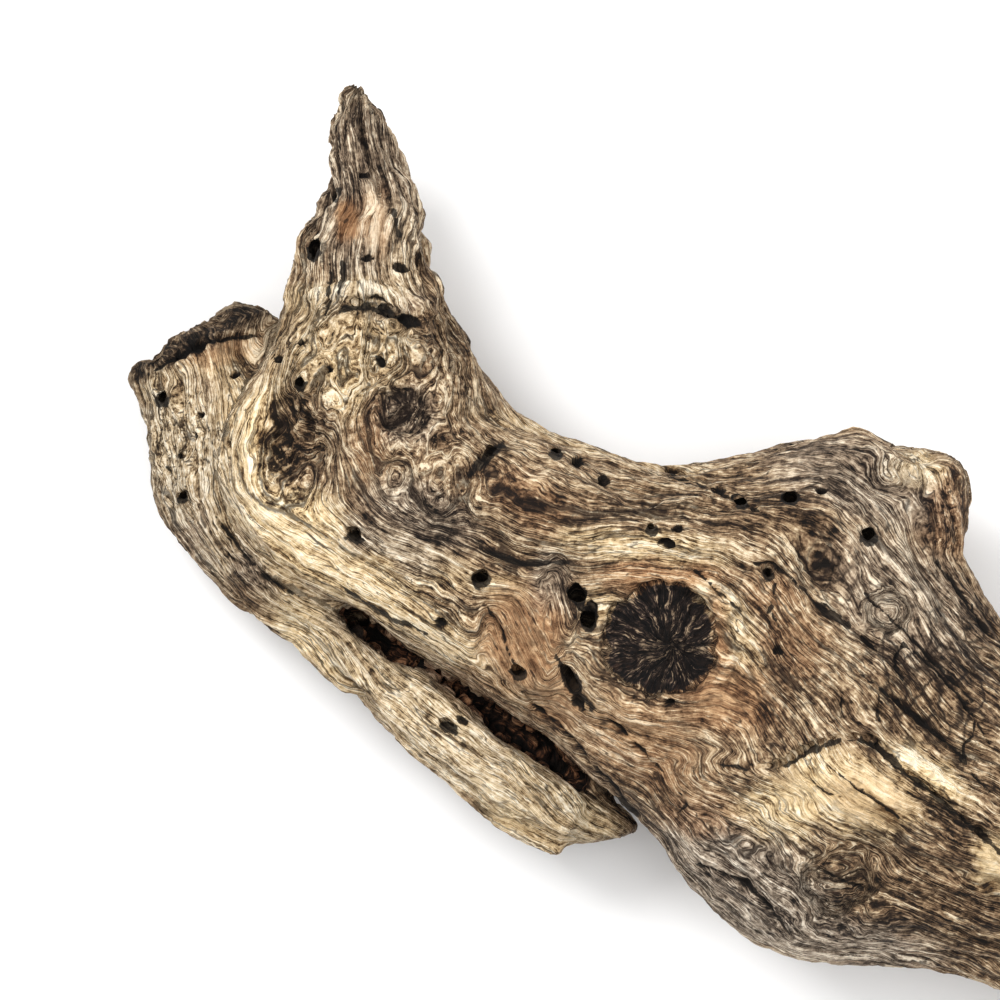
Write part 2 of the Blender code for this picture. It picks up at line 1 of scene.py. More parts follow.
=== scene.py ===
# %% [markdown]
# # A weathered piece of driftwood
#
# The object is one piece of wood: a bent trunk that ends in a splintered spike, a thin slab split
# from its lower side, knots, cracks and worm holes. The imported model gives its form. This lesson
# gives it a finer skin, carves the grain into that skin, and paints it from the grain itself.

# %% Load the frame
import itertools
import math

import bpy
import numpy as np
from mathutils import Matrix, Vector


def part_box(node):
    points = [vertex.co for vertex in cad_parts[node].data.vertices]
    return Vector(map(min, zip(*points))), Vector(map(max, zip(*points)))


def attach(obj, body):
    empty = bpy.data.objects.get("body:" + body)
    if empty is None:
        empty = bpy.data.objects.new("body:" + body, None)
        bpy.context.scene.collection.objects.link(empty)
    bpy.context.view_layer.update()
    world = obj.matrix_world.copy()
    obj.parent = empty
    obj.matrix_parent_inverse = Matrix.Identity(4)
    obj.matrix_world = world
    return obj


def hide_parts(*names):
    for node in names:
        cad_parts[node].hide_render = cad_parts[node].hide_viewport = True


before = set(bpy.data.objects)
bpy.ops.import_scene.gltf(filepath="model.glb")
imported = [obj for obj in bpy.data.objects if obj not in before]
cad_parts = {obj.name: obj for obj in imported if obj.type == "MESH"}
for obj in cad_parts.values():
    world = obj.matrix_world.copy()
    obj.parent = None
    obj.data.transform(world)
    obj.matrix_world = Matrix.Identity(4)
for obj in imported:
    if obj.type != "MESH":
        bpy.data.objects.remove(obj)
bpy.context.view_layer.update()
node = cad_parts["driftwood"]
low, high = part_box("driftwood")

# %% [markdown]
# ## Places on the wood
#
# The wood lies on its back and the camera looks straight down. So a place on its upper face can be
# named by where the photograph shows it. One pixel is a quarter of a millimetre. The wood's left
# edge and the tip of its spike fix where the pixels lie in the model.

# %% From photograph to model
MM = 0.001
PIXEL = 0.25 * MM
LEFT_EDGE_PX = 123
SPIKE_TIP_PX = 84
PHOTO_PX = 1000


def spot(px, py, z=0.0):
    """A photograph position as a point of the model, z metres above the floor."""
    return Vector((low.x + (px - LEFT_EDGE_PX) * PIXEL, high.y - (py - SPIKE_TIP_PX) * PIXEL, z))


def photo_places(points):
    """Model points in metres as photograph positions, in pixels."""
    across = LEFT_EDGE_PX + (points[:, 0] - low.x) / PIXEL
    down = SPIKE_TIP_PX + (high.y - points[:, 1]) / PIXEL
    return np.stack([across, down], 1)


print("the middle of the photograph lies at", [round(v, 4) for v in spot(500, 500)])

# %% [markdown]
# ## The floor, the camera and the light
#
# The photograph is a product shot from straight above, with no strong perspective. A long lens far
# away gives that. Big soft lamps give light with pale, open shadows, and the one at the upper left
# is the strongest, because the lower right of the wood is the darker side.

# %% Camera
CAMERA_HEIGHT = 3.0
SILHOUETTE_HEIGHT = 40 * MM
SENSOR_MM = 36

camera_data = bpy.data.cameras.new("camera")
camera_data.sensor_width = SENSOR_MM
camera_data.lens = SENSOR_MM * (CAMERA_HEIGHT - SILHOUETTE_HEIGHT) / (PHOTO_PX * PIXEL)
camera_data.clip_end = 20
camera = bpy.data.objects.new("camera", camera_data)
camera.location = spot(PHOTO_PX / 2, PHOTO_PX / 2, CAMERA_HEIGHT)
bpy.context.scene.collection.objects.link(camera)
bpy.context.scene.camera = camera
print("lens in mm:", round(camera_data.lens))


# %% Floor and lamps
def srgb(red, green, blue):
    """A colour as seen on a screen, 0 to 255, as the linear colour that a shader takes."""
    values = [value / 255 for value in (red, green, blue)]
    return (*[v / 12.92 if v <= 0.04045 else ((v + 0.055) / 1.055) ** 2.4 for v in values], 1.0)


white = bpy.data.materials.new("floor_white")
white.use_nodes = True
shader = white.node_tree.nodes["Principled BSDF"]
shader.inputs["Base Color"].default_value = srgb(248, 248, 248)
shader.inputs["Roughness"].default_value = 0.9
bpy.ops.object.select_all(action="DESELECT")
bpy.ops.mesh.primitive_plane_add(size=12, location=(0, 0, 0))
floor = bpy.context.object
floor.name = "floor"
floor.data.materials.append(white)


def lamp(name, place, size, watts):
    """A square soft lamp that points at the middle of the wood."""
    data = bpy.data.lights.new(name, "AREA")
    data.size = size
    data.energy = watts
    obj = bpy.data.objects.new(name, data)
    obj.location = place
    obj.rotation_euler = (Vector((0, 0, 0.04)) - obj.location).to_track_quat("-Z", "Y").to_euler()
    bpy.context.scene.collection.objects.link(obj)
    return obj


lamp("key_lamp", Vector((-1.0, 1.0, 1.7)), 0.9, 33)
lamp("fill_lamp", Vector((1.3, -0.6, 1.4)), 1.4, 13)
lamp("top_lamp", Vector((0.1, 0.1, 2.4)), 1.6, 20)
world = bpy.data.worlds.new("studio")
world.use_nodes = True
world.node_tree.nodes["Background"].inputs["Color"].default_value = (1, 1, 1, 1)
world.node_tree.nodes["Background"].inputs["Strength"].default_value = 0.55
bpy.context.scene.world = world
bpy.context.scene.view_settings.view_transform = "Standard"

# %% [markdown]
# ## A finer skin
#
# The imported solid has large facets, made for weighing and resting it. Wood has relief down to a
# millimetre. One way is to sculpt a subdivided copy, but its facets are uneven. A voxel remesh
# gives even small faces everywhere, which take a carved pattern well. The copy's loose triangles
# are merged first, or the remesh would see no solid.

# %% Remesh a copy of the solid
SKIN_VOXEL = 0.62 * MM
SKIN_TRIANGLES = 196000


def make_active(obj):
    bpy.ops.object.select_all(action="DESELECT")
    obj.select_set(True)
    bpy.context.view_layer.objects.active = obj


def apply_modifiers(obj):
    make_active(obj)
    for modifier in list(obj.modifiers):
        bpy.ops.object.modifier_apply(modifier=modifier.name)


skin = bpy.data.objects.new("wood_skin", node.data.copy())
bpy.context.scene.collection.objects.link(skin)
make_active(skin)
bpy.ops.object.mode_set(mode="EDIT")
bpy.ops.mesh.select_all(action="SELECT")
bpy.ops.mesh.remove_doubles(threshold=0.001 * MM)
bpy.ops.object.mode_set(mode="OBJECT")
remesh = skin.modifiers.new("remesh", "REMESH")
remesh.mode = "VOXEL"
remesh.voxel_size = SKIN_VOXEL
soften = skin.modifiers.new("soften", "SMOOTH")
soften.factor = 0.5
soften.iterations = 3
apply_modifiers(skin)
print("skin points:", len(skin.data.vertices))

# %% [markdown]
# ## Gates across the fibres
#
# Everything on this wood follows its fibres: ridges, cracks, stains. So each point needs to know
# how far along the fibres it lies, and which fibre it lies on. A gate is a cut across the limb,
# from the outer edge of the bend to the inner one. A fibre passes every gate at about the same
# place of its girth, so a short list of gates combs the whole surface, also down the sides.

# %% The gates of the trunk and of the slab
# Each gate: across and down of its outer edge and of its inner edge, in pixels of the photograph,
# then the heights of the underside and of the top there, in millimetres.
TRUNK_GATES = (
    (352, 82, 362, 82, 35, 38), (340, 105, 381, 105, 31, 40), (330, 125, 390, 125, 28, 42),
    (328, 165, 407, 165, 25, 45), (322, 205, 425, 205, 22, 47), (301, 226, 430, 225, 20, 49),
    (289, 265, 433, 264, 18, 52), (283, 308, 450, 302, 16, 55), (264, 356, 468, 348, 13, 58),
    (226, 424, 486, 386, 9, 61), (221, 498, 517, 421, 5, 64), (262, 570, 559, 438, 3, 66),
    (340, 612, 612, 454, 4, 68), (428, 664, 668, 471, 6, 71), (524, 724, 738, 462, 8, 75),
    (596, 784, 801, 442, 8, 79), (658, 842, 863, 442, 6, 82), (700, 890, 916, 498, 4, 84),
    (750, 936, 961, 560, 3, 85), (814, 957, 999, 620, 3, 84), (885, 966, 1045, 675, 3, 82),
    (964, 975, 1095, 735, 4, 78), (1045, 1000, 1145, 800, 6, 72), (1110, 1036, 1192, 865, 10, 64),
    (1164, 1048, 1220, 922, 16, 52), (1200, 1028, 1238, 964, 24, 42),
)
SLAB_GATES = (
    (137, 358, 248, 314, 19, 27), (115, 378, 276, 328, 14, 32), (138, 420, 285, 392, 11, 36),
    (147, 480, 290, 468, 9, 37), (158, 526, 300, 520, 8, 36), (190, 570, 325, 560, 7, 35),
    (230, 612, 355, 590, 8, 36), (302, 642, 400, 624, 9, 38), (346, 708, 455, 655, 10, 40),
    (398, 759, 515, 704, 11, 42), (454, 796, 570, 752, 11, 41), (506, 832, 610, 800, 12, 38),
    (562, 850, 640, 826, 15, 35), (610, 847, 660, 834, 19, 31), (680, 862, 722, 846, 20, 30),
)
STEPS_PER_GATE = 4
POINTS_AT_ONCE = 20000
GIRTH = 3.4


def smooth_rows(rows, steps):
    """Rows spaced along a smooth curve through the given rows, steps to each span."""
    rows = np.array(rows, float)
    padded = np.vstack([2 * rows[0] - rows[1], rows, 2 * rows[-1] - rows[-2]])
    made = []
    for i in range(1, len(padded) - 2):
        a, b, c, d = padded[i - 1 : i + 3]
        for t in np.arange(steps) / steps:
            bend = t * t * (a - 2.5 * b + 2 * c - 0.5 * d) + t**3 * (1.5 * (b - c) + 0.5 * (d - a))
            made.append(b + 0.5 * t * (c - a) + bend)
    return np.array([*made, rows[-1]])


def comb_some(places, z, rows):
    """For each point: millimetres along, share of the width, height in the limb, around."""
    start, end = rows[:, 0:2], rows[:, 2:4]
    gate = end - start
    offset = places[:, None, :] - start[None]
    past = gate[None, :, 0] * offset[..., 1] - gate[None, :, 1] * offset[..., 0]
    past /= np.linalg.norm(gate, axis=1)
    crossed = (past[:, :-1] > 0) & (past[:, 1:] <= 0)
    beyond = np.where(past[:, 0] > 0, len(rows) - 2, 0)
    k = np.where(crossed.any(1), crossed.argmax(1), beyond)
    each = np.arange(len(places))
    near, far = past[each, k], past[each, k + 1]
    part = np.clip(near / np.where(abs(near - far) < 1e-6, 1.0, near - far), 0, 1)
    row = rows[k] * (1 - part[:, None]) + rows[k + 1] * part[:, None]
    span = row[:, 2:4] - row[:, 0:2]
    share = ((places - row[:, 0:2]) * span).sum(1) / (span * span).sum(1)
    lengths = np.linalg.norm(np.diff((start + end) / 2, axis=0), axis=1)
    lengths = np.append(0, lengths).cumsum() * PIXEL / MM
    along = lengths[k] * (1 - part) + lengths[k + 1] * part
    level = (2 * z - row[:, 4] - row[:, 5]) / (row[:, 5] - row[:, 4])
    turn = np.arctan2(2 * share - 1, level)
    around = turn * GIRTH * np.sqrt(np.linalg.norm(span, axis=1) * PIXEL / MM)
    return along, share, level, around


def comb(places, z, gates):
    """The same for all points, some at a time to spare memory."""
    rows = smooth_rows(gates, STEPS_PER_GATE)
    parts = [
        comb_some(places[i : i + POINTS_AT_ONCE], z[i : i + POINTS_AT_ONCE], rows)
        for i in range(0, len(places), POINTS_AT_ONCE)
    ]
    return [np.concatenate(column) for column in zip(*parts)]


# %% [markdown]
# ## Smooth noise
#
# Chance makes the grain uneven, but it must be the same chance every time. This is gradient
# noise: each corner of a grid holds a fixed random slope, and a point blends the slopes round it.
# A stretched grid gives long streaks.

# %% Gradient noise
GRADIENT_COUNT = 256
rng = np.random.default_rng(7)
gradients = rng.normal(size=(GRADIENT_COUNT, 3))
gradients /= np.linalg.norm(gradients, axis=1)[:, None]
NOISE_GAIN = 1.7


def corner_slopes(at):
    """The fixed random slope of each grid corner."""
    mixed = at[:, 0] * 73856093 ^ at[:, 1] * 19349663 ^ at[:, 2] * 83492791
    return gradients[(mixed ^ (mixed >> 9)) % GRADIENT_COUNT]


def noise(points, cell, seed=0):
    """Noise of about -1 to 1, with bumps of about one cell. The cell may differ by axis."""
    spread = points / np.array(cell) + seed * 31.7
    base = np.floor(spread).astype(np.int64)
    inside = spread - base
    ease = inside**3 * (inside * (inside * 6 - 15) + 10)
    total = np.zeros(len(points))
    for corner in itertools.product((0, 1), repeat=3):
        slope = corner_slopes(base + np.array(corner))
        weight = np.where(corner, ease, 1 - ease).prod(1)
        total += weight * ((inside - np.array(corner)) * slope).sum(1)
    return total * NOISE_GAIN


def blocks(points, cell, seed=0):
    """(how far each point lies inside its block, a chance number of that block)."""
    spread = points / cell + seed * 31.7
    base = np.floor(spread).astype(np.int64)
    nearest, second = np.full((2, len(points)), 9.0)
    chance = np.zeros(len(points))
    for corner in itertools.product((-1, 0, 1), repeat=3):
        slope = corner_slopes(base + np.array(corner))
        gap = np.linalg.norm(spread - base - np.array(corner) - 0.5 - 0.45 * slope, axis=1)
        closer = gap < nearest
        second = np.where(closer, nearest, np.minimum(second, gap))
        chance = np.where(closer, slope[:, 0], chance)
        nearest = np.minimum(nearest, gap)
    return second - nearest, chance


def rounded(value):
    """Round backs with narrow creases between them, about -0.5 to 0.5, from noise."""
    return abs(value) ** 0.7 - 0.5


def step(start, end, value):
    """0 before start, 1 after end, and smooth between."""
    t = np.clip((value - start) / (end - start), 0, 1)
    return t * t * (3 - 2 * t)


def bump(distance, at=0.0, spread=1.0):
    return np.exp(-(((distance - at) / spread) ** 2))


# %% [markdown]
# ## Knots, curls, cracks and holes
#
# A knot is where a branch grew out. Fibres part round it, and inside it they show as rings or, in
# the burnt-looking black one, as cracks that run out from its middle. Each is an oval with a place
# and a size. A crack is a line of a few points.

# %% Named places on the upper face
# Each oval: centre across and down, half length, half width, degrees clockwise, strength.
BLACK_KNOT = (657, 638, 54, 55, 0, 1.0)
ROTTEN_KNOT = (290, 437, 44, 48, -15, 0.9)
LENS_KNOT = (405, 415, 33, 26, -10, 0.9)
RING_KNOT = (396, 475, 20, 18, 0, 1.0)
SIDE_RING_KNOT = (436, 472, 15, 27, 12, 0.6)
BROWN_KNOT = (814, 558, 24, 40, -25, 0.8)
GREY_KNOT = (882, 612, 24, 21, 0, 0.8)
LOW_KNOT = (834, 876, 34, 30, -20, 0.8)
EYE_MOUND = (526, 492, 62, 28, 24, 0.7)
TINY_SWIRL = (394, 326, 15, 10, 0, 1.0)
PARTING_KNOTS = (
    BLACK_KNOT, ROTTEN_KNOT, LENS_KNOT, BROWN_KNOT, GREY_KNOT, LOW_KNOT, EYE_MOUND,
)
RINGED_KNOTS = (RING_KNOT, SIDE_RING_KNOT, GREY_KNOT, LOW_KNOT, TINY_SWIRL)

CURLS = (
    (372, 372, 92, 78, 0, 1.0), (440, 470, 62, 52, 20, 0.9), (815, 905, 70, 45, 10, 0.5),
    (905, 470, 34, 26, 0, 0.8), (300, 470, 42, 40, 0, 0.8), (174, 440, 36, 88, 0, 0.55),
    (460, 606, 56, 20, 32, 0.4), (950, 500, 22, 40, 0, 0.7),
)

# Each crack: half width at its widest and depth, in millimetres, and its line. The imported form
# has the first nine already, so they only get painted shade and ragged lips.
CRACKS = (
    (1.2, 0.5, ((336, 314), (360, 306), (388, 314), (422, 326))),
    (1.4, 0.5, ((466, 478), (486, 458), (506, 441))),
    (0.9, 0.5, ((480, 544), (518, 559), (568, 562))),
    (0.8, 0.4, ((712, 760), (768, 766), (816, 742), (864, 738), (904, 772), (952, 810),
                (1000, 852), (1048, 894))),
    (0.9, 0.5, ((796, 584), (816, 606), (848, 626))),
    (0.8, 0.5, ((338, 584), (384, 616), (432, 636))),
    (1.0, 0.5, ((556, 656), (572, 684), (596, 712))),
    (0.9, 0.4, ((344, 254), (343, 276), (339, 298))),
    (1.0, 0.5, ((393, 208), (402, 246))),
    (0.7, 2.2, ((556, 722), (580, 752), (612, 790), (648, 834))),
    (0.4, 1.4, ((604, 716), (636, 744), (662, 772))), (0.4, 1.2, ((668, 778), (684, 800), (676, 812))),
    (0.6, 1.8, ((848, 626), (862, 640), (880, 656), (900, 676))),
    (0.5, 1.6, ((896, 640), (930, 668), (958, 700), (985, 742))),
    (0.5, 1.6, ((850, 668), (900, 704), (944, 742), (985, 790))),
    (0.5, 1.6, ((820, 760), (868, 792), (900, 822))),
    (0.5, 1.8, ((328, 262), (330, 290), (324, 318))),
    (0.6, 1.6, ((212, 510), (232, 540), (262, 574), (300, 600))),
    (0.4, 1.2, ((520, 690), (545, 716), (556, 722))),
    (0.5, 1.4, ((482, 600), (500, 628), (512, 660), (519, 674))),
    (0.4, 1.2, ((640, 470), (690, 480), (735, 500), (770, 520))),
    (0.5, 1.4, ((740, 560), (770, 566), (796, 584))),
    (0.7, 2.2, ((150, 372), (186, 350), (222, 338), (262, 334))),
    (0.5, 1.4, ((772, 580), (768, 606), (776, 626))),
    (0.5, 1.4, ((690, 566), (716, 590), (740, 612))),
    (0.5, 1.4, ((858, 590), (892, 622), (930, 660), (968, 700))),
    (0.6, 1.8, ((696, 862), (722, 871), (744, 884), (766, 904), (788, 934))),
    (0.4, 1.2, ((812, 864), (838, 876), (866, 886))),
    (0.4, 1.2, ((764, 586), (766, 606), (758, 618))), (0.4, 1.2, ((900, 640), (890, 655), (893, 668))),
    (0.4, 1.2, ((838, 690), (836, 706), (842, 716))), (0.4, 1.2, ((874, 690), (872, 712), (876, 722))),
    (0.4, 1.2, ((966, 700), (968, 728), (958, 744), (962, 764))),
    (0.4, 1.2, ((804, 758), (806, 778), (826, 790), (846, 796))),
    (0.5, 1.4, ((934, 560), (960, 596), (990, 640))),
)
# Places where the wood is worn smooth and its fibres hardly show.
BARE = (
    (862, 794, 44, 28, 22, 1.0), (812, 790, 44, 24, 10, 0.75), (986, 858, 16, 28, 0, 0.9),
    (522, 640, 36, 52, -12, 0.6), (722, 690, 34, 26, 10, 0.6), (690, 742, 30, 24, 20, 0.4),
    (376, 222, 13, 38, -6, 0.75), (350, 222, 13, 20, 0, 0.85), (560, 700, 26, 26, 0, 0.5),
    (228, 350, 28, 10, -14, 0.6),
    (500, 806, 50, 16, 38, 0.4), (906, 478, 20, 14, 0, 0.7),
)

# Crumbly places, where the fibres are broken short.
BROKEN_SHORT = (
    (178, 440, 40, 84, 0, 0.9), (308, 350, 34, 30, 0, 0.6), (946, 505, 18, 44, 0, 0.8),
    (240, 566, 18, 40, -36, 0.8), (405, 415, 30, 24, -10, 0.8), (905, 470, 24, 16, 0, 0.7),
)
SHORTENING = 2.6
SHORTENED_WITHIN = 30

# Patches where the grain turns out of the flow: an oval, then the way that the grain runs there.
TURNED = (
    ((520, 646, 44, 62, -14, 1.0), 64), ((946, 502, 24, 48, 0, 0.9), 78),
    ((560, 600, 16, 44, -8, 0.8), 84), ((738, 806, 84, 52, 12, 0.6), 8),
    ((820, 838, 70, 34, 20, 0.6), 16), ((745, 880, 90, 36, 34, 0.6), 24),
    ((940, 905, 80, 44, 22, 0.9), 24), ((612, 742, 40, 30, 30, 0.5), 30),
)

# The crevice between the trunk and the slab: across, down, half width.
CREVICE = (
    (328, 606, 3), (357, 622, 12), (378, 642, 13), (400, 658, 10), (424, 670, 7), (452, 690, 8),
    (480, 711, 11), (510, 734, 15), (541, 750, 18), (562, 769, 12), (582, 788, 6),
)

# The bark that is left along the upper edge of the slab.
CRUST = (
    (244, 314, 34, 17, -14, 1.0), (190, 342, 46, 12, -22, 1.0), (142, 366, 26, 15, -22, 0.9),
)

# Worm holes are ovals too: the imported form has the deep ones, and the shallow ones are cut here.
DEEP_HOLES = (
    (865, 537, 8.0, 7.6, 0), (787, 498, 7.6, 6.4, 20), (738, 505, 6.4, 6.0, 0),
    (765, 574, 7.2, 5.6, 60), (356, 538, 8.0, 6.0, 35), (481, 580, 9.6, 7.6, -15),
    (577, 594, 12.0, 7.6, 75), (587, 622, 9.2, 7.2, 60), (518, 673, 7.2, 6.0, 30),
    (570, 679, 15.2, 7.2, 65), (556, 454, 6.4, 5.2, 20), (316, 250, 11.2, 7.6, -80),
    (358, 625, 8.4, 8.0, 0), (161, 400, 6.4, 6.0, 0), (182, 499, 6.0, 5.2, -60),
    (448, 727, 9.6, 5.2, 25), (302, 386, 5.6, 5.2, 0), (650, 530, 5.6, 4.8, 0),
)
SHALLOW_HOLES = (
    (774, 648, 6, 4, 50), (672, 470, 6, 4, 10), (716, 488, 6, 4, 15), (330, 368, 5, 4, 0),
    (440, 622, 5, 4, 30), (462, 720, 7, 4, 30), (578, 461, 5, 4, 0), (336, 196, 3, 7, 8),
    (664, 542, 8, 4, 10), (676, 528, 6, 4, 10), (818, 490, 5, 4, 0), (604, 480, 5, 4, 0),
    (590, 610, 10, 6, 80), (575, 700, 8, 5, 60), (368, 259, 6, 3, 0), (378, 300, 8, 4, 20),
    (410, 322, 11, 6, 12), (386, 312, 7, 3, 30), (375, 112, 3, 2, 0), (380, 362, 6, 4, 60),
    (302, 342, 4, 3, 0), (668, 700, 4, 3, 0), (278, 359, 4, 4, 0),
    (200, 414, 4, 3, 20), (195, 436, 4, 3, 70), (236, 373, 5, 3, -30), (229, 446, 4, 2, 80),
    (180, 456, 3, 3, 0), (166, 470, 4, 2, 60), (328, 371, 3, 3, 0), (400, 268, 8, 4, 20),
    (364, 176, 7, 3, 0),
)


def oval_reach(places, oval):
    """Distance from an oval's middle, as a share of its half size in that direction."""
    across, down, length, width, degrees = oval[:5]
    turn = math.radians(degrees)
    dx, dy = places[:, 0] - across, places[:, 1] - down
    u = dx * math.cos(turn) + dy * math.sin(turn)
    v = dy * math.cos(turn) - dx * math.sin(turn)
    return np.hypot(u / length, v / width)


def cover(places, ovals):
    """How strongly a list of soft-edged ovals covers each place, 0 to 1."""
    total = np.zeros(len(places))
    for oval in ovals:
        total = np.maximum(total, oval[5] * (1 - step(0.55, 1.35, oval_reach(places, oval))))
    return total


def line_reach(places, line):
    """(distance in pixels from a line of points, share of the way along it) for each place."""
    best = np.full(len(places), 1e9)
    way = np.zeros(len(places))
    for i, (start, end) in enumerate(zip(line, line[1:])):
        start, end = np.array(start, float), np.array(end, float)
        run = end - start
        t = np.clip(((places - start) @ run) / (run @ run), 0, 1)
        distance = np.linalg.norm(places - start - t[:, None] * run, axis=1)
        way = np.where(distance < best, (i + t) / (len(line) - 1), way)
        best = np.minimum(best, distance)
    return best, way


print("knots and curls:", len(PARTING_KNOTS) + len(RINGED_KNOTS) + len(CURLS))

# %% [markdown]
# ## The grain of every point
#
# Now each point gets its place in the grain: millimetres around the limb, and along it. Round a
# knot the first number changes slowly, so the fibres part. In a curl it follows the height of a
# noise map, whose contour lines are closed loops, which is how curly wood looks. In a ringed knot
# it is the distance from the middle. In the black knot it is the bearing from its middle.

# %% Grain coordinates
SLAB_OFFSET = 400.0
SLAB_STARTS_PX, SLAB_ENDS_PX = 300, 668
KNOB_RIGHT_PX, KNOB_BOTTOM_PX = 275, 335
BENDS = ((5.5, 6, 31), (2.0, 2.2, 33))
KNOT_GATHERS, CURL_GATHERS = 0.92, 0.62
TURNED_LINES_PER_MM = 1.1
OUT_OF_REACH = 9
CURL_LOOPS = ((6.4, (7.5, 15, 11)), (1.9, (3.4, 6.5, 4.5)))
BLACK_KNOT_EYE = (668, 645)
BLACK_KNOT_TURN = 13.0
BLACK_KNOT_REACH = 34.0
SPLINTERED_TO, SPLINTERED_FROM = 58, 322


def wavy(places, z, cell, seed):
    """Noise over the plan with a cell in millimetres."""
    flat = np.stack([places[:, 0] * PIXEL / MM, places[:, 1] * PIXEL / MM, z], 1)
    return noise(flat, cell, seed)


def middle_of(reach, upper):
    """The point of the upper face that lies nearest to an oval's middle."""
    return (reach + OUT_OF_REACH * (upper < 0.9)).argmin()


def gathered(across, reach, upper, strength):
    """Fibres drawn together towards the one through an oval's middle, by the strength."""
    middle = across[middle_of(reach, upper)]
    return middle + (across - middle) * (1 - strength)


def crevice_depth(places, slab_level):
    """1 for points down in the crevice, by their place on its line and their height."""
    rows = smooth_rows(CREVICE, STEPS_PER_GATE)
    apart = np.full(len(places), 1e9)
    for x, y, half_width in rows:
        apart = np.minimum(apart, np.hypot(places[:, 0] - x, places[:, 1] - y) - half_width)
    return (1 - step(2, 7, apart)) * (1 - step(0.35, 0.8, slab_level)) * step(-0.6, -0.4, slab_level)


def grain_of(points, normals):
    """Everything that the carving and the painting need to know about each point."""
    places = photo_places(points)
    z = points[:, 2] / MM
    upper = step(-0.15, 0.35, normals[:, 2])
    along, share, level, across = comb(places, z, TRUNK_GATES)
    slab_along, slab_share, slab_level, slab_across = comb(places, z, SLAB_GATES)
    knob = (places[:, 0] < KNOB_RIGHT_PX) & (places[:, 1] < KNOB_BOTTOM_PX)
    beside = (places[:, 0] < SLAB_ENDS_PX) & (places[:, 1] > SLAB_STARTS_PX)
    slab = (share < 0) & beside | knob
    bent = places
    for size, cell, seed in BENDS:
        bent = bent + size * np.stack([wavy(places, z, cell, seed + i) for i in (0, 1)], 1)
    for knot in PARTING_KNOTS:
        reach = oval_reach(bent, knot)
        across = gathered(across, reach, upper, KNOT_GATHERS * knot[5] * upper * bump(reach, 0, 1.35))
    level = np.where(slab, slab_level, level)
    across = np.where(slab, slab_across + SLAB_OFFSET, across)
    along = np.where(slab, slab_along + SLAB_OFFSET, along)
    straight = 1 - 0.75 * ~slab * (1 - step(SPLINTERED_TO - 20, SPLINTERED_TO + 10, along))
    restless = cover(bent, CURLS) * upper
    across += straight * (2.2 * wavy(places, z, 26, 1) + 0.6 * wavy(places, z, 8, 2))
    across += (0.08 + 0.35 * restless) * wavy(places, z, 2.6, 7)
    loops = sum(
        high * wavy(places, z, cell, 3 + i) for i, (high, cell) in enumerate(CURL_LOOPS)
    )
    for curl in CURLS:
        reach = oval_reach(bent, curl)
        share_of_curl = curl[5] * upper * (1 - step(0.5, 1.3, reach))
        across = gathered(across, reach, upper, CURL_GATHERS * share_of_curl) + loops * share_of_curl
    for knot in RINGED_KNOTS:
        reach = oval_reach(bent, knot)
        ring = knot[5] * upper * (1 - step(0.7, 1.2, reach))
        rings = reach * knot[3] * PIXEL / MM * 1.5 + 0.8 * wavy(places, z, 3, 5)
        across = across * (1 - ring) + rings * ring
    for oval, bearing in TURNED:
        turned = oval[5] * upper * (1 - step(0.6, 1.15, oval_reach(bent, oval)))
        middle = middle_of(oval_reach(places, oval), upper)
        offset = (places - np.array(oval[:2])) * PIXEL / MM
        ahead = np.array([math.cos(math.radians(bearing)), math.sin(math.radians(bearing))])
        aside = TURNED_LINES_PER_MM * (offset @ np.array([ahead[1], -ahead[0]]))
        across = across * (1 - turned) + (across[middle] + aside) * turned
        along = along * (1 - turned) + (along[middle] + offset @ ahead) * turned
    for oval in BROKEN_SHORT:
        reach = oval_reach(bent, oval)
        middle = along[middle_of(reach, upper)]
        broken = oval[5] * upper * (1 - step(0.5, 1.2, reach))
        near_middle = np.clip(along - middle, -SHORTENED_WITHIN, SHORTENED_WITHIN)
        along = along + SHORTENING * broken * near_middle
    deep = np.zeros(len(places))
    black = oval_reach(bent, BLACK_KNOT) + 0.07 * wavy(places, z, 3.5, 52)
    inside = (black < 1.0) & (upper > 0.3)
    bearing = np.arctan2(bent[:, 1] - BLACK_KNOT_EYE[1], bent[:, 0] - BLACK_KNOT_EYE[0])
    across = np.where(inside, np.cos(bearing) * BLACK_KNOT_TURN, across)
    deep = np.where(inside, np.sin(bearing) * BLACK_KNOT_TURN, deep)
    along = np.where(inside, black * BLACK_KNOT_REACH, along)
    return {
        "places": places, "z": z, "upper": upper, "slab": slab, "share": share,
        "above": step(-0.2, 0.25, level), "black": black, "inside": inside,
        "crevice": crevice_depth(places, slab_level), "restless": restless,
        "grain": np.stack([across, deep, along], 1),
    }


# %% [markdown]
# ## Carving
#
# The skin moves in and out along its normals by less than two millimetres. Ridges with narrow
# creases follow the grain at two sizes. The spike and the broken ends are splintered into plates
# with ragged ends. Knots get their cracks and rings, and every named crack and worm hole is pushed
# in.

# %% Cracks and holes
def crack_depth(grain):
    """How far each crack pushes the skin in, in millimetres, and how much painted shade lies in it."""
    places = grain["places"]
    jitter = 0.35 * wavy(places, grain["z"], 2.2, 8)
    uneven = np.clip(1 + 0.9 * wavy(places, grain["z"], 5, 53), 0.05, 1.7)
    depth = np.zeros(len(places))
    dark = np.zeros(len(places))
    for half_width, deep, line in CRACKS:
        distance, way = line_reach(places, smooth_rows(line, 5))
        taper = np.clip(4 * way * (1 - way), 0.0, 1.0) ** 0.5 * uneven
        reach = (distance * PIXEL / MM + jitter) / (half_width * taper + 0.12)
        depth = np.maximum(depth, deep * taper * bump(reach) * grain["upper"])
        # Painted shade in and beside each crack, on the upper half of the limb.
        dark = np.maximum(dark, (1 - step(0.15, 1.15, abs(reach))) * grain["above"])
    return depth, dark


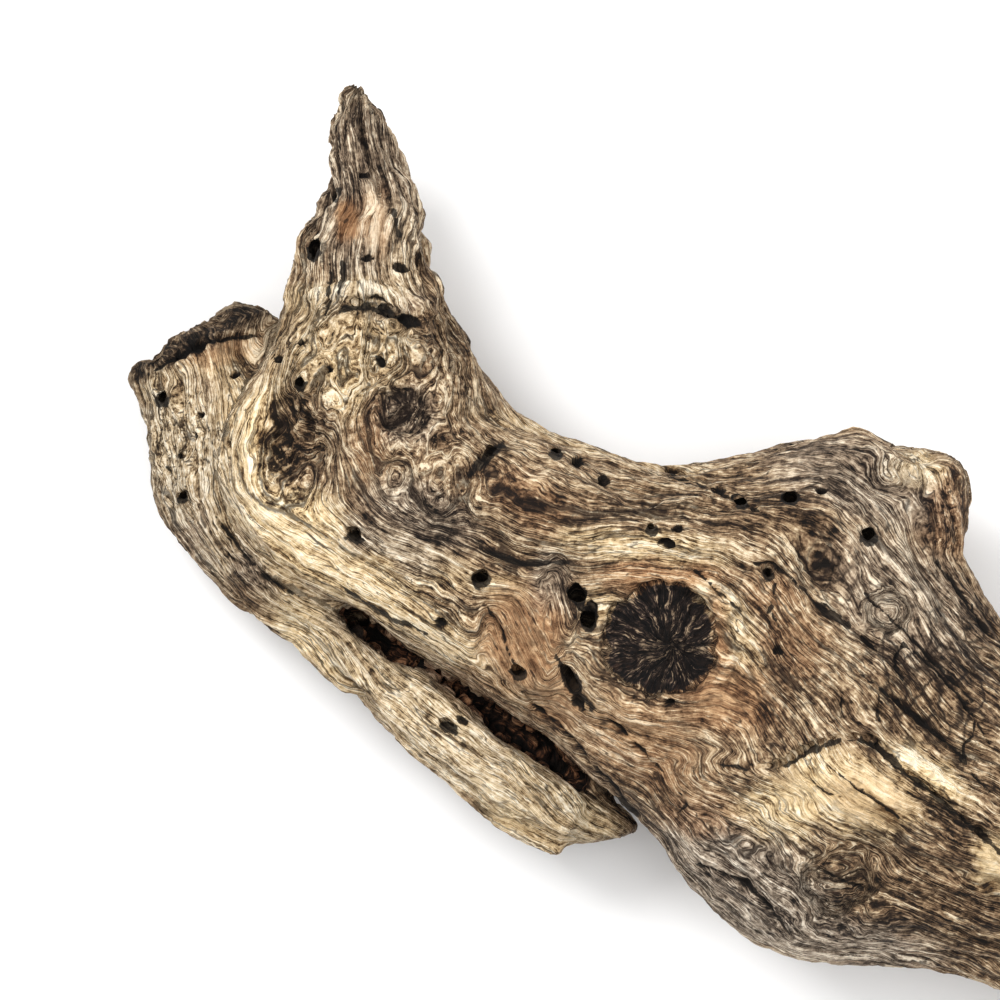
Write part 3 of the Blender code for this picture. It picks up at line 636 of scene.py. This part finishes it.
def hole_depth(grain):
    """The same for each worm hole."""
    places = grain["places"]
    ragged = 1 + 0.3 * wavy(places, grain["z"], 1.5, 9) + 0.2 * wavy(places, grain["z"], 4, 37)
    depth = np.zeros(len(places))
    dark = np.zeros(len(places))
    for ovals, push in ((DEEP_HOLES, 0.25), (SHALLOW_HOLES, 2.0)):
        for oval in ovals:
            reach = oval_reach(places, oval) * ragged
            depth = np.maximum(depth, push * (1 - step(0.7, 1.2, reach)) * grain["upper"])
            # Painted shade in and round each worm hole.
            dark = np.maximum(dark, (1 - step(0.9, 1.25, reach)) * grain["above"])
    return depth, dark


# %% Relief in millimetres
# Plates and strands that stand out of the skin: half width and height in millimetres, and a line.
RAISED = (
    (1.5, 1.2, ((373, 180), (371, 192), (372, 206))), (3.2, 1.6, ((373, 192), (377, 214), (371, 256))),
    (3.0, 0.8, ((349, 202), (350, 222), (350, 242))), (1.2, 1.0, ((352, 128), (348, 160), (346, 196))),
    (1.0, 1.0, ((404, 196), (412, 228), (420, 262))),
    (1.6, 1.4, ((300, 300), (330, 292), (368, 290), (410, 300), (440, 318))),
    (1.2, 1.2, ((386, 334), (420, 352), (440, 384))),
    (1.6, 1.2, ((888, 742), (920, 762), (950, 790))),
    (1.2, 1.0, ((700, 690), (724, 668), (736, 636), (728, 600), (706, 574))),
    (1.0, 0.9, ((452, 700), (484, 712), (520, 728))),
)


def raised(grain):
    """How far the named plates and strands lift the skin."""
    places = grain["places"]
    jitter = 0.5 * wavy(places, grain["z"], 3, 35)
    height = np.zeros(len(places))
    for half_width, tall, line in RAISED:
        distance, way = line_reach(places, smooth_rows(line, 5))
        taper = np.clip(5 * way * (1 - way), 0, 1) ** 0.5
        reach = (distance * PIXEL / MM + jitter) / (half_width * taper + 0.1)
        height = np.maximum(height, tall * taper * (1 - step(0.75, 1.25, reach)))
    return height * grain["upper"]


def broken_ends(grain):
    """1 where the wood is broken into splinters: the spike and the far stump."""
    along = grain["grain"][:, 2]
    trunk = 1 - step(SPLINTERED_TO - 14, SPLINTERED_TO + 8, along) * (
        1 - step(SPLINTERED_FROM, SPLINTERED_FROM + 20, along)
    )
    return np.where(grain["slab"] | grain["inside"], 0.0, trunk)


CRUMB_SIZE = 3.6


def crumbs(grain):
    """Rotten wood breaks into small cubes: (relief, painted shade in the gaps between them)."""
    rot = grain["crevice"]
    for knot, share in ((ROTTEN_KNOT, 0.5), (LENS_KNOT, 0.2), (BROWN_KNOT, 0.3)):
        reach = oval_reach(grain["places"], knot)
        rot = np.maximum(rot, share * (1 - step(0.65, 1.05, reach)) * grain["upper"])
    there = rot > 0.02
    flat = np.column_stack([grain["places"] * PIXEL / MM, grain["z"]])[there]
    within, chance = blocks(flat, CRUMB_SIZE, 51)
    relief, dark = np.zeros((2, len(there)))
    open_gap = 1 - step(0.0, 0.3, within)
    relief[there] = rot[there] * (2.0 * chance - 1.7 * open_gap)
    # Painted shade in the open gaps between the cubes.
    dark[there] = rot[there] * open_gap * 0.62
    return relief, dark


def relief_of(grain):
    """(relief in millimetres, painted shade in cracks, holes and the gaps between crumbs)."""
    lines, places, z = grain["grain"], grain["places"], grain["z"]
    upper, inside = grain["upper"], grain["inside"]
    ends = broken_ends(grain)
    coarse = noise(lines, (4.2, 4.2, 52), 11)
    fine = noise(lines, (1.9, 1.9, 24), 12)
    relief = 1.15 * rounded(coarse) + (0.55 + 0.4 * grain["restless"]) * rounded(fine)
    relief += 0.35 * wavy(places, z, 5, 14) + 0.2 * wavy(places, z, 1.6, 36)
    plates = step(-0.12, 0.12, noise(lines, (3.0, 3.0, 26), 13)) - 0.5
    shreds = step(-0.12, 0.12, noise(lines, (1.5, 1.5, 15), 18)) - 0.5
    relief += ends * (0.8 * plates + 0.6 * shreds)
    crumbly = wavy(places, z, 2.8, 15)
    rotten = bump(oval_reach(places, ROTTEN_KNOT), 0, 0.85) * upper
    lens = (1 - step(0.8, 1.05, oval_reach(places, LENS_KNOT))) * upper
    relief += rotten * (1.7 * crumbly - 0.6) + lens * (0.9 * crumbly - 0.5)
    bark = 2.4 * abs(wavy(places, z, 6, 19)) + 0.9 * abs(wavy(places, z, 2.4, 40)) - 0.6
    relief += cover(places, CRUST) * grain["above"] * bark
    radial = noise(lines, (2.0, 2.0, 22), 16)
    petals = 1.9 * rounded(radial) + 1.1 * rounded(noise(lines, (1.4, 1.4, 7), 20)) - 0.3
    # The noise whose zero lines are the carved creases; the material paints shade along them.
    grain["creases"] = np.where(inside, radial, coarse)
    relief = np.where(inside, petals, relief) - 1.0 * bump(grain["black"], 1.0, 0.06) * upper
    crack, crack_dark = crack_depth(grain)
    hole, hole_dark = hole_depth(grain)
    crumb, gap_dark = crumbs(grain)
    relief = np.clip(relief, -2.0, 1.4) * (1 - 0.8 * grain["crevice"]) + crumb - crack - hole
    relief += raised(grain) * (1 - hole_dark)
    return relief * step(0.3, 2.5, z), np.maximum.reduce([crack_dark, hole_dark, gap_dark])


# %% Carve the skin
def points_and_normals(mesh):
    points = np.empty(3 * len(mesh.vertices))
    normals = np.empty(3 * len(mesh.vertices))
    mesh.vertices.foreach_get("co", points)
    mesh.vertex_normals.foreach_get("vector", normals)
    return points.reshape(-1, 3), normals.reshape(-1, 3)


def carve(obj):
    """Moves the skin by its relief, and returns what is known of each point."""
    points, normals = points_and_normals(obj.data)
    grain = grain_of(points, normals)
    relief, dark = relief_of(grain)
    points = points + normals * relief[:, None] * MM
    points[:, 2] = np.maximum(points[:, 2], 0)
    obj.data.vertices.foreach_set("co", points.ravel())
    obj.data.update()
    grain["relief"], grain["cut"] = relief, dark
    return grain


grain = carve(skin)
print("relief from", round(grain["relief"].min(), 2), "to", round(grain["relief"].max(), 2), "mm")

# %% [markdown]
# ## Tints
#
# Sun and water bleach the wood cream and grey, iron and tannin stain it rusty and dark. Some dark
# patches are painted shade instead. The tints lie in soft patches at known places on the upper face,
# and by chance on the sides and below.

# %% Patches of each tint
PALE = (
    (300, 522, 55, 36, 30, 0.9), (360, 566, 78, 24, 33, 0.8), (345, 345, 70, 50, 0, 0.5),
    (346, 378, 16, 46, -8, 0.75), (302, 345, 20, 24, 0, 0.6),
    (345, 297, 66, 18, -6, 0.75), (845, 788, 66, 38, 22, 1.0), (778, 806, 50, 30, -10, 0.9),
    (882, 806, 30, 32, 0, 0.7), (922, 768, 50, 17, 35, 0.9), (986, 858, 18, 30, 0, 0.9),
    (912, 473, 30, 20, 10, 0.9), (640, 546, 90, 17, 5, 0.7), (738, 640, 18, 62, -18, 0.55),
    (488, 788, 74, 22, 36, 0.8), (600, 604, 20, 16, 0, 0.6), (430, 640, 80, 20, 33, 0.6),
    (590, 440, 120, 14, 14, 0.4), (228, 470, 26, 110, 4, 0.8), (620, 720, 60, 16, 28, 0.4),
    (700, 596, 26, 14, 40, 0.4), (395, 250, 20, 50, 0, 0.3), (500, 590, 30, 14, 20, 0.5),
    (180, 450, 40, 70, 0, 0.85), (420, 560, 60, 22, 22, 0.5), (560, 812, 66, 28, 30, 1.0),
    (520, 796, 84, 36, 38, 1.0), (430, 716, 96, 40, 42, 1.0), (330, 650, 80, 30, 42, 0.95),
    (166, 390, 34, 26, 0, 0.6), (215, 362, 44, 12, -16, 0.6), (560, 430, 70, 12, 12, 0.5),
)
RUST = (
    (664, 574, 64, 17, 0, 1.0), (722, 694, 52, 38, 10, 0.8), (640, 742, 70, 38, 32, 0.7),
    (522, 640, 42, 56, -12, 0.85), (478, 692, 40, 24, 30, 0.5), (350, 222, 15, 21, 0, 1.0),
    (376, 224, 15, 36, -6, 0.5),
    (222, 352, 42, 13, -16, 0.6), (560, 702, 32, 30, 0, 0.6), (368, 440, 20, 42, 0, 0.5),
    (770, 594, 30, 22, 0, 0.5), (945, 510, 24, 44, 0, 0.5), (716, 634, 10, 44, 0, 0.8),
    (862, 796, 44, 28, 22, 0.3), (790, 640, 34, 40, 0, 0.45), (530, 500, 50, 26, 24, 0.4),
    (700, 810, 44, 22, 10, 0.5),
)
# Dark stains, knots and bark, and also painted shade: the ovals at 246, 556 and 500, 740 and 938, 806,
# and those at 960, 910 and 880, 900, which darken the lower right end.
DARK_STAIN_AND_SHADE = (
    (526, 492, 58, 26, 24, 0.75), (405, 415, 33, 26, -10, 0.65), (290, 430, 36, 38, 0, 0.4),
    (350, 170, 26, 70, 4, 0.65), (380, 150, 26, 50, 0, 0.5), (385, 230, 30, 40, 0, 0.35),
    (432, 522, 40, 22, 30, 0.9), (470, 538, 50, 16, 24, 0.4), (486, 462, 30, 14, -45, 0.8),
    (850, 472, 78, 20, 24, 0.75),
    (930, 524, 46, 18, 45, 0.55), (800, 522, 60, 22, 32, 0.55), (968, 622, 34, 50, 0, 0.65),
    (940, 690, 70, 52, 35, 0.5), (950, 500, 24, 44, 0, 0.55), (832, 560, 34, 26, 20, 0.55),
    (938, 806, 48, 18, 38, 0.8), (238, 316, 42, 13, -14, 0.95), (180, 346, 52, 11, -22, 0.95),
    (144, 366, 24, 15, -22, 0.9), (246, 556, 18, 50, -38, 0.9), (224, 524, 12, 34, -24, 0.6),
    (742, 520, 40, 18, 10, 0.5),
    (900, 830, 40, 60, 40, 0.4), (420, 300, 34, 12, 20, 0.4), (240, 590, 16, 20, 0, 0.7),
    (960, 910, 80, 46, 38, 0.85), (880, 900, 60, 44, 0, 0.5),
    (745, 888, 70, 40, 34, 0.35), (856, 484, 60, 34, 20, 0.5), (740, 650, 20, 50, -18, 0.25),
    (988, 800, 20, 60, 40, 0.5),
    (470, 574, 40, 14, 0, 0.5), (566, 600, 26, 40, 0, 0.5), (430, 345, 40, 34, 30, 0.35),
    (680, 500, 44, 14, 10, 0.4), (500, 740, 90, 16, 42, 0.4), (620, 800, 30, 60, -40, 0.5),
)
GREY = (
    (405, 415, 36, 28, -10, 0.5), (545, 806, 74, 28, 34, 0.35),
    (740, 892, 110, 64, 34, 0.9), (830, 944, 110, 34, 4, 0.8), (365, 190, 60, 110, 0, 0.45),
    (860, 480, 100, 40, 22, 0.6), (900, 600, 90, 60, 40, 0.5), (400, 548, 60, 20, 20, 0.6),
    (420, 516, 60, 30, 20, 0.6), (430, 710, 150, 44, 42, 0.4), (180, 500, 60, 130, 0, 0.45),
    (690, 840, 40, 40, 0, 0.5), (550, 580, 20, 40, 0, 0.5), (370, 300, 60, 20, 0, 0.4),
    (240, 556, 20, 56, -36, 0.5),
)
PITTED = (
    (945, 500, 22, 46, 0, 1.0), (905, 470, 30, 22, 0, 0.7), (180, 470, 60, 120, 0, 0.95),
    (372, 366, 86, 70, 0, 0.65), (440, 470, 60, 50, 20, 0.6),
    (460, 750, 120, 60, 40, 0.6), (290, 437, 44, 48, -15, 0.7), (348, 221, 13, 17, 0, 1.0),
)
DASHED = ((520, 640, 46, 58, -12, 1.0), (790, 850, 100, 70, 10, 0.9), (640, 700, 90, 50, 30, 0.6))
CHECKED = (
    (930, 672, 90, 76, 30, 1.0), (722, 604, 40, 30, 20, 0.6), (812, 570, 46, 36, 20, 0.7),
    (640, 772, 70, 40, 30, 0.5), (405, 415, 32, 25, 0, 0.9), (720, 640, 26, 40, 0, 0.4),
    (790, 690, 60, 40, 20, 0.6), (560, 690, 40, 40, 0, 0.4),
)


def tints_of(grain):
    """Strength of each tint at each point, from the patches above and from chance elsewhere."""
    places, z, upper = grain["places"], grain["z"], grain["upper"]
    moved = places + 9 * np.stack([wavy(places, z, 7, 21), wavy(places, z, 7, 22)], 1)
    tints = []
    for ovals, cell, seed, most in (
        (PALE, 34, 23, 0.3), (RUST, 30, 24, 0.35), (DARK_STAIN_AND_SHADE, 26, 25, 0.5), (GREY, 48, 26, 0.75),
    ):
        by_chance = np.clip(0.5 + 0.9 * wavy(places, z, cell, seed), 0, 1) * most
        tints.append(cover(moved, ovals) * upper + by_chance * (1 - upper))
    band = bump(grain["share"], 0.10, 0.085) * step(60, 84, grain["grain"][:, 2])
    band *= (1 - step(120, 190, grain["grain"][:, 2])) * upper * ~grain["slab"]
    tints[0] = np.maximum(tints[0], band)
    return np.stack(tints, 1)


# %% Store them on the skin
def store(mesh, name, kind, values):
    attribute = mesh.attributes.new(name, kind, "POINT")
    field = {"FLOAT_VECTOR": "vector", "FLOAT_COLOR": "color", "FLOAT": "value"}[kind]
    attribute.data.foreach_set(field, np.ascontiguousarray(values, np.float32).ravel())


def paint(mesh, grain):
    """Gives the mesh the attributes that the wood material reads."""
    places, upper = grain["places"], grain["upper"]
    char = np.where(grain["inside"], 1 - step(0.84, 1.0, grain["black"]), 0.0)
    # The marks: the black knot, painted shade in cracks, holes and gaps, drying checks, and dashes.
    marks = [char, grain["cut"], cover(places, CHECKED) * upper, cover(places, DASHED) * upper]
    crust = cover(places, CRUST) * grain["above"]
    pitted = np.maximum(0.35, cover(places, PITTED))
    forms = [crust, pitted, grain["crevice"], np.maximum(grain["restless"], crust)]
    store(mesh, "bare", "FLOAT", cover(places, BARE) * upper)
    for name in ("creases", "relief"):
        store(mesh, name, "FLOAT", grain[name])
    store(mesh, "grain", "FLOAT_VECTOR", grain["grain"])
    store(mesh, "tint", "FLOAT_COLOR", tints_of(grain))
    store(mesh, "marks", "FLOAT_COLOR", np.stack(marks, 1))
    store(mesh, "forms", "FLOAT_COLOR", np.stack(forms, 1))


paint(skin.data, grain)
print("attributes:", [a.name for a in skin.data.attributes if not a.name.startswith(".")])

# %% [markdown]
# ## Fewer faces where they don't show
#
# The carving needed even small faces. Now a Decimate modifier takes out those that lie flat with
# their neighbours, and keeps creases and edges. The painted attributes come through it.

# %% Thin the skin
triangles = 2 * len(skin.data.polygons)
if triangles > SKIN_TRIANGLES:
    thin = skin.modifiers.new("thin", "DECIMATE")
    thin.ratio = SKIN_TRIANGLES / triangles
    apply_modifiers(skin)
make_active(skin)
bpy.ops.object.shade_smooth()
print("skin faces:", triangles, "thinned to", len(skin.data.polygons))

# %% [markdown]
# ## The wood's finish
#
# The material is built from small node groups. One draws streaks along the grain at any width. One
# draws the short dark dashes where pores are cut through. One draws a net of drying checks. They
# give masks, which choose between ramps of brown, grey, rust and black, and drive the bump.

# %% Node helpers
class Nodes:
    """Short calls to add and link the nodes of one tree."""

    def __init__(self, tree):
        self.tree = tree

    def put(self, kind, settings=None, **inputs):
        made = self.tree.nodes.new("ShaderNode" + kind)
        for name, value in (settings or {}).items():
            setattr(made, name, value)
        for name, value in inputs.items():
            self.feed(made, name, value)
        return made

    def feed(self, made, name, value):
        socket = made.inputs[int(name[1:])] if name[0] == "i" and name[1:].isdigit() else None
        socket = socket or made.inputs[name.replace("_", " ")]
        if isinstance(value, bpy.types.NodeSocket):
            self.tree.links.new(value, socket)
        else:
            socket.default_value = value

    def maths(self, operation, *values):
        made = self.put("Math", {"operation": operation})
        for i, value in enumerate(values):
            self.feed(made, f"i{i}", value)
        return made.outputs[0]

    def times(self, value, share):
        return self.maths("MULTIPLY", value, share)

    def plus(self, value, share, base):
        return self.maths("MULTIPLY_ADD", value, share, base)

    def inverse(self, value):
        return self.maths("SUBTRACT", 1.0, value)

    def vector(self, operation, *values):
        return self.put(
            "VectorMath", {"operation": operation}, **{f"i{i}": v for i, v in enumerate(values)}
        ).outputs[0]

    def painted(self, name, output="Fac"):
        """A value that was painted on the skin."""
        return self.put("Attribute", {"attribute_name": name}).outputs[output]

    def between(self, value, start, end):
        """0 below start, 1 above end, and smooth between."""
        made = self.put("MapRange", {"interpolation_type": "SMOOTHSTEP"})
        for name, number in (("Value", value), ("From_Min", start), ("From_Max", end)):
            self.feed(made, name, number)
        return made.outputs[0]

    def mix(self, share, first, second, blend="MIX"):
        made = self.put("Mix", {"data_type": "RGBA", "blend_type": blend})
        for name, value in (("i0", share), ("i6", first), ("i7", second)):
            self.feed(made, name, value)
        return made.outputs[2]

    def ramp(self, value, stops):
        made = self.put("ValToRGB", Fac=value)
        colours = made.color_ramp.elements
        while len(colours) < len(stops):
            colours.new(1.0)
        for element, (place, colour) in zip(colours, stops):
            element.position = place
            element.color = colour
        return made.outputs[0]


# %% Streaks, cracks, checks and pits
def grain_group(name, extra, draw):
    """A node group that draws a pattern in cells of Width by Length millimetres of the Grain."""
    tree = bpy.data.node_groups.new(name, "ShaderNodeTree")
    tree.interface.new_socket("Grain", in_out="INPUT", socket_type="NodeSocketVector")
    for title in ("Width", "Length", extra):
        socket = tree.interface.new_socket(title, in_out="INPUT", socket_type="NodeSocketFloat")
        socket.default_value = 1.0
    tree.interface.new_socket("Value", in_out="OUTPUT", socket_type="NodeSocketFloat")
    nodes = Nodes(tree)
    given = tree.nodes.new("NodeGroupInput").outputs
    across = nodes.maths("DIVIDE", 1.0, given["Width"])
    along = nodes.maths("DIVIDE", 1.0, given["Length"])
    scale = nodes.put("CombineXYZ", X=across, Y=across, Z=along).outputs[0]
    place = nodes.vector("MULTIPLY", given["Grain"], scale)
    end = tree.nodes.new("NodeGroupOutput")
    tree.links.new(draw(nodes, place, given[extra]), end.inputs["Value"])
    return tree


def streaks(nodes, place, detail):
    """Noise drawn out along the fibres."""
    return nodes.put("TexNoise", Vector=place, Scale=1.0, Detail=detail, Roughness=0.6).outputs[0]


def crack_lines(nodes, place, thickness):
    """Thin lines along the fibres, where a streaky noise passes its middle value."""
    lines = nodes.put("TexNoise", Vector=place, Scale=1.0, Detail=1.0, Roughness=0.5).outputs[0]
    patch = nodes.put("TexNoise", Vector=place, Scale=0.37, Detail=1.0).outputs[0]
    off_line = nodes.maths("ABSOLUTE", nodes.maths("SUBTRACT", lines, 0.5))
    thin = nodes.times(thickness, nodes.between(patch, 0.4, 0.62))
    return nodes.inverse(nodes.between(off_line, 0.0, nodes.maths("ADD", thin, 1e-4)))


def drying_checks(nodes, place, thickness):
    """1 in the narrow cracks between the blocks that dry wood breaks into."""
    rough = nodes.put("TexNoise", Vector=place, Scale=2.5, Detail=2.0)
    bent = nodes.mix(0.14, place, rough.outputs["Color"], "LINEAR_LIGHT")
    cells = nodes.put("TexVoronoi", {"feature": "DISTANCE_TO_EDGE"}, Vector=bent, Scale=1.0)
    return nodes.inverse(nodes.between(cells.outputs["Distance"], 0.0, thickness))


def worm_pits(nodes, place, thickness):
    """1 in small round pits, in about a third of the cells of a grid."""
    cells = nodes.put("TexVoronoi", Vector=place, Scale=1.0)
    chance = nodes.put("SeparateColor", Color=cells.outputs["Color"]).outputs[0]
    size = nodes.maths("ADD", nodes.times(thickness, nodes.between(chance, 0.3, 0.8)), 1e-4)
    return nodes.inverse(nodes.between(cells.outputs["Distance"], nodes.times(size, 0.6), size))


STREAKS = grain_group("grain_streaks", "Detail", streaks)
CRACK_LINES = grain_group("fine_cracks", "Thickness", crack_lines)
CHECKS = grain_group("drying_checks", "Thickness", drying_checks)
PITS = grain_group("worm_pits", "Thickness", worm_pits)
print("groups:", [tree.name for tree in (STREAKS, CRACK_LINES, CHECKS, PITS)])

# %% The wood's colours, from its creases to its crests
def shades(*stops):
    """The stops of a ramp: its place and its red, green and blue, each."""
    return [(place, srgb(*colour)) for place, *colour in stops]


BROWN_RAMP = shades(
    (0.0, 14, 9, 5), (0.22, 66, 48, 31), (0.46, 128, 102, 76), (0.7, 180, 154, 120),
    (0.95, 232, 212, 180),
)
PALE_RAMP = shades(
    (0.0, 40, 28, 16), (0.22, 126, 98, 64), (0.44, 210, 182, 136), (0.66, 240, 214, 170),
    (0.95, 255, 242, 214),
)
GREY_RAMP = shades(
    (0.0, 20, 16, 13), (0.22, 80, 68, 57), (0.46, 142, 127, 110), (0.7, 190, 175, 156),
    (0.95, 238, 225, 206),
)
RUST_RAMP = shades(
    (0.0, 26, 14, 7), (0.22, 84, 54, 32), (0.46, 148, 108, 74), (0.7, 194, 154, 113),
    (0.95, 234, 206, 170),
)
CHAR_RAMP = shades(
    (0.0, 2, 1, 1), (0.36, 9, 6, 5), (0.55, 33, 24, 20), (0.75, 78, 62, 52), (0.98, 172, 148, 120)
)
CRUMB_RAMP = shades((0.0, 8, 5, 3), (0.35, 40, 24, 15), (0.6, 104, 66, 43), (0.95, 172, 124, 88))
CRUST_RAMP = shades((0.0, 10, 7, 5), (0.3, 46, 35, 26), (0.55, 92, 74, 56), (0.85, 158, 138, 112))
CRACK_BROWN, DASH_BROWN = srgb(26, 16, 10), srgb(44, 26, 16)
# The near-black brown is painted shade for cracks, holes and gaps.
PIT_BROWN, RECESS_SHADE_BROWN = srgb(30, 20, 13), srgb(9, 6, 4)


def group_value(nodes, tree, **inputs):
    made = nodes.put("Group", {"node_tree": tree})
    for name, value in inputs.items():
        nodes.feed(made, name, value)
    return made.outputs["Value"]


def spread_sum(nodes, terms, middle):
    """middle plus each value's distance from a half, times its share."""
    total = middle
    for value, share in terms:
        total = nodes.plus(nodes.maths("SUBTRACT", value, 0.5), share, total)
    return total


# %% The wood material
def weathered_wood():
    """Fibres, cracks, stains and painted shade over the whole skin, steered by its painted attributes.
    """
    material = bpy.data.materials.new("weathered_wood")
    material.use_nodes = True
    nodes = Nodes(material.node_tree)
    shader = material.node_tree.nodes["Principled BSDF"]
    grain, relief = nodes.painted("grain", "Vector"), nodes.painted("relief")
    creases, bare = nodes.painted("creases"), nodes.painted("bare")
    split = [
        nodes.put("SeparateColor", Color=nodes.painted(name, "Color")).outputs
        for name in ("tint", "marks", "forms")
    ]
    (pale, rust, dark), (char, cut, checked), (crust, pitted, crevice) = split
    grey, dashed, restless = (nodes.painted(name, "Alpha") for name in ("tint", "marks", "forms"))

    place = nodes.put("TexCoord").outputs["Object"]
    crumble = nodes.put("TexNoise", Vector=place, Scale=0.5 / MM, Detail=3.0, Roughness=0.65)
    rough = crumble.outputs[0]
    shaken = nodes.vector("SUBTRACT", crumble.outputs["Color"], (0.5, 0.5, 0.5))
    near = nodes.vector("MULTIPLY_ADD", shaken, (0.3, 0.3, 1.0), grain)
    shaken = nodes.put("VectorMath", {"operation": "SCALE"}, i0=shaken,
                       Scale=nodes.plus(restless, 0.7, 0.2)).outputs[0]
    frayed = nodes.vector("MULTIPLY_ADD", shaken, (1.0, 1.0, 3.0), grain)
    hair = group_value(nodes, STREAKS, Grain=frayed, Width=0.26, Length=4.5, Detail=1.0)
    fibre = group_value(nodes, STREAKS, Grain=frayed, Width=0.7, Length=13.0, Detail=2.0)
    bundle = group_value(nodes, STREAKS, Grain=grain, Width=2.0, Length=22.0, Detail=1.0)
    broad = group_value(nodes, STREAKS, Grain=grain, Width=6.0, Length=40.0, Detail=2.0)
    cracks = group_value(nodes, CRACK_LINES, Grain=near, Width=2.2, Length=22.0, Thickness=0.04)
    splits = group_value(nodes, CRACK_LINES, Grain=near, Width=0.9, Length=9.0, Thickness=0.05)
    checks = group_value(nodes, CHECKS, Grain=near, Width=3.8, Length=8.0, Thickness=0.09)
    pits = group_value(nodes, PITS, Grain=near, Width=1.6, Length=2.4, Thickness=0.42)
    dashes = group_value(nodes, PITS, Grain=near, Width=1.1, Length=4.6, Thickness=0.36)

    # A dark line along the bottom of each carved crease is painted shade; the fine cracks and splits
    # beside it are the wood's own.
    torn = nodes.plus(nodes.maths("SUBTRACT", rough, 0.5), 0.25, creases)
    open_width = nodes.times(nodes.between(broad, 0.35, 0.65), 0.07)
    crease = nodes.inverse(nodes.between(
        nodes.maths("ABSOLUTE", torn), nodes.times(open_width, 0.3),
        nodes.maths("ADD", open_width, 0.03)))
    lines = nodes.maths("MAXIMUM", cracks, nodes.times(splits, 0.8))
    lines = nodes.maths("MAXIMUM", lines, nodes.times(crease, 0.9))
    lines = nodes.times(lines, nodes.inverse(crust))
    lines = nodes.times(lines, nodes.plus(bare, -0.7, 1.0))
    between_fibres = nodes.between(
        nodes.maths("ABSOLUTE", nodes.maths("SUBTRACT", fibre, 0.5)), 0.0, 0.04)
    # Painted shade in the carved cracks, holes and gaps, with a ragged edge.
    cut = nodes.between(spread_sum(nodes, ((fibre, 1.0), (rough, 1.4)), cut), 0.36, 0.62)
    char = nodes.between(spread_sum(nodes, ((rough, 1.6),), char), 0.3, 0.6)

    streaked = ((fibre, 1.25), (hair, 1.2), (bundle, 0.8), (between_fibres, 0.14))
    tone = spread_sum(nodes, streaked, 0.0)
    tone = spread_sum(nodes, ((rough, nodes.plus(restless, 0.6, 1.1)),), tone)
    calm = nodes.plus(bare, -0.62, nodes.plus(rust, -0.2, 1.15))
    tone = nodes.plus(tone, calm, 0.53)
    tone = nodes.plus(nodes.plus(bare, 0.04, 0.04), pale, tone)
    tone = spread_sum(nodes, ((broad, 0.7),), tone)
    # From the carved relief: hollows get painted shade, and crests are lighter, as painted light and
    # as wear.
    tone = nodes.plus(relief, 0.2, tone)
    # The dark tint lowers the tone: stains, and the patches of painted shade.
    tone = nodes.plus(dark, -0.28, tone)

    colour = nodes.ramp(tone, BROWN_RAMP)
    for mask, ramp in (
        (pale, PALE_RAMP), (grey, GREY_RAMP), (rust, RUST_RAMP), (crust, CRUST_RAMP),
        (char, CHAR_RAMP), (crevice, CRUMB_RAMP),
    ):
        colour = nodes.mix(mask, colour, nodes.ramp(tone, ramp))
    # Dark marks over the colour. The last one is painted shade, a near-black brown, in cracks, holes
    # and gaps.
    for mask, share, shade in (
        (lines, 0.85, CRACK_BROWN), (nodes.times(dashes, dashed), 0.85, DASH_BROWN),
        (nodes.times(checks, checked), 0.9, CRACK_BROWN),
        (nodes.times(pits, pitted), 0.8, PIT_BROWN), (cut, 0.92, RECESS_SHADE_BROWN),
    ):
        colour = nodes.mix(nodes.times(mask, share), colour, shade)
    nodes.feed(shader, "Base_Color", colour)

    height = spread_sum(nodes, ((fibre, 1.1), (hair, 0.6), (rough, 1.2)), 0.0)
    lumps = nodes.put("Bump", Strength=1.0, Distance=0.8 * MM, Height=height)
    nodes.feed(shader, "Normal", lumps.outputs[0])
    nodes.feed(shader, "Roughness", nodes.plus(tone, -0.12, 0.9))
    shader.inputs["Specular IOR Level"].default_value = 0.25
    return material


skin.data.materials.clear()
skin.data.materials.append(weathered_wood())
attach(skin, "root")
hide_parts("driftwood")
print("skin finished")
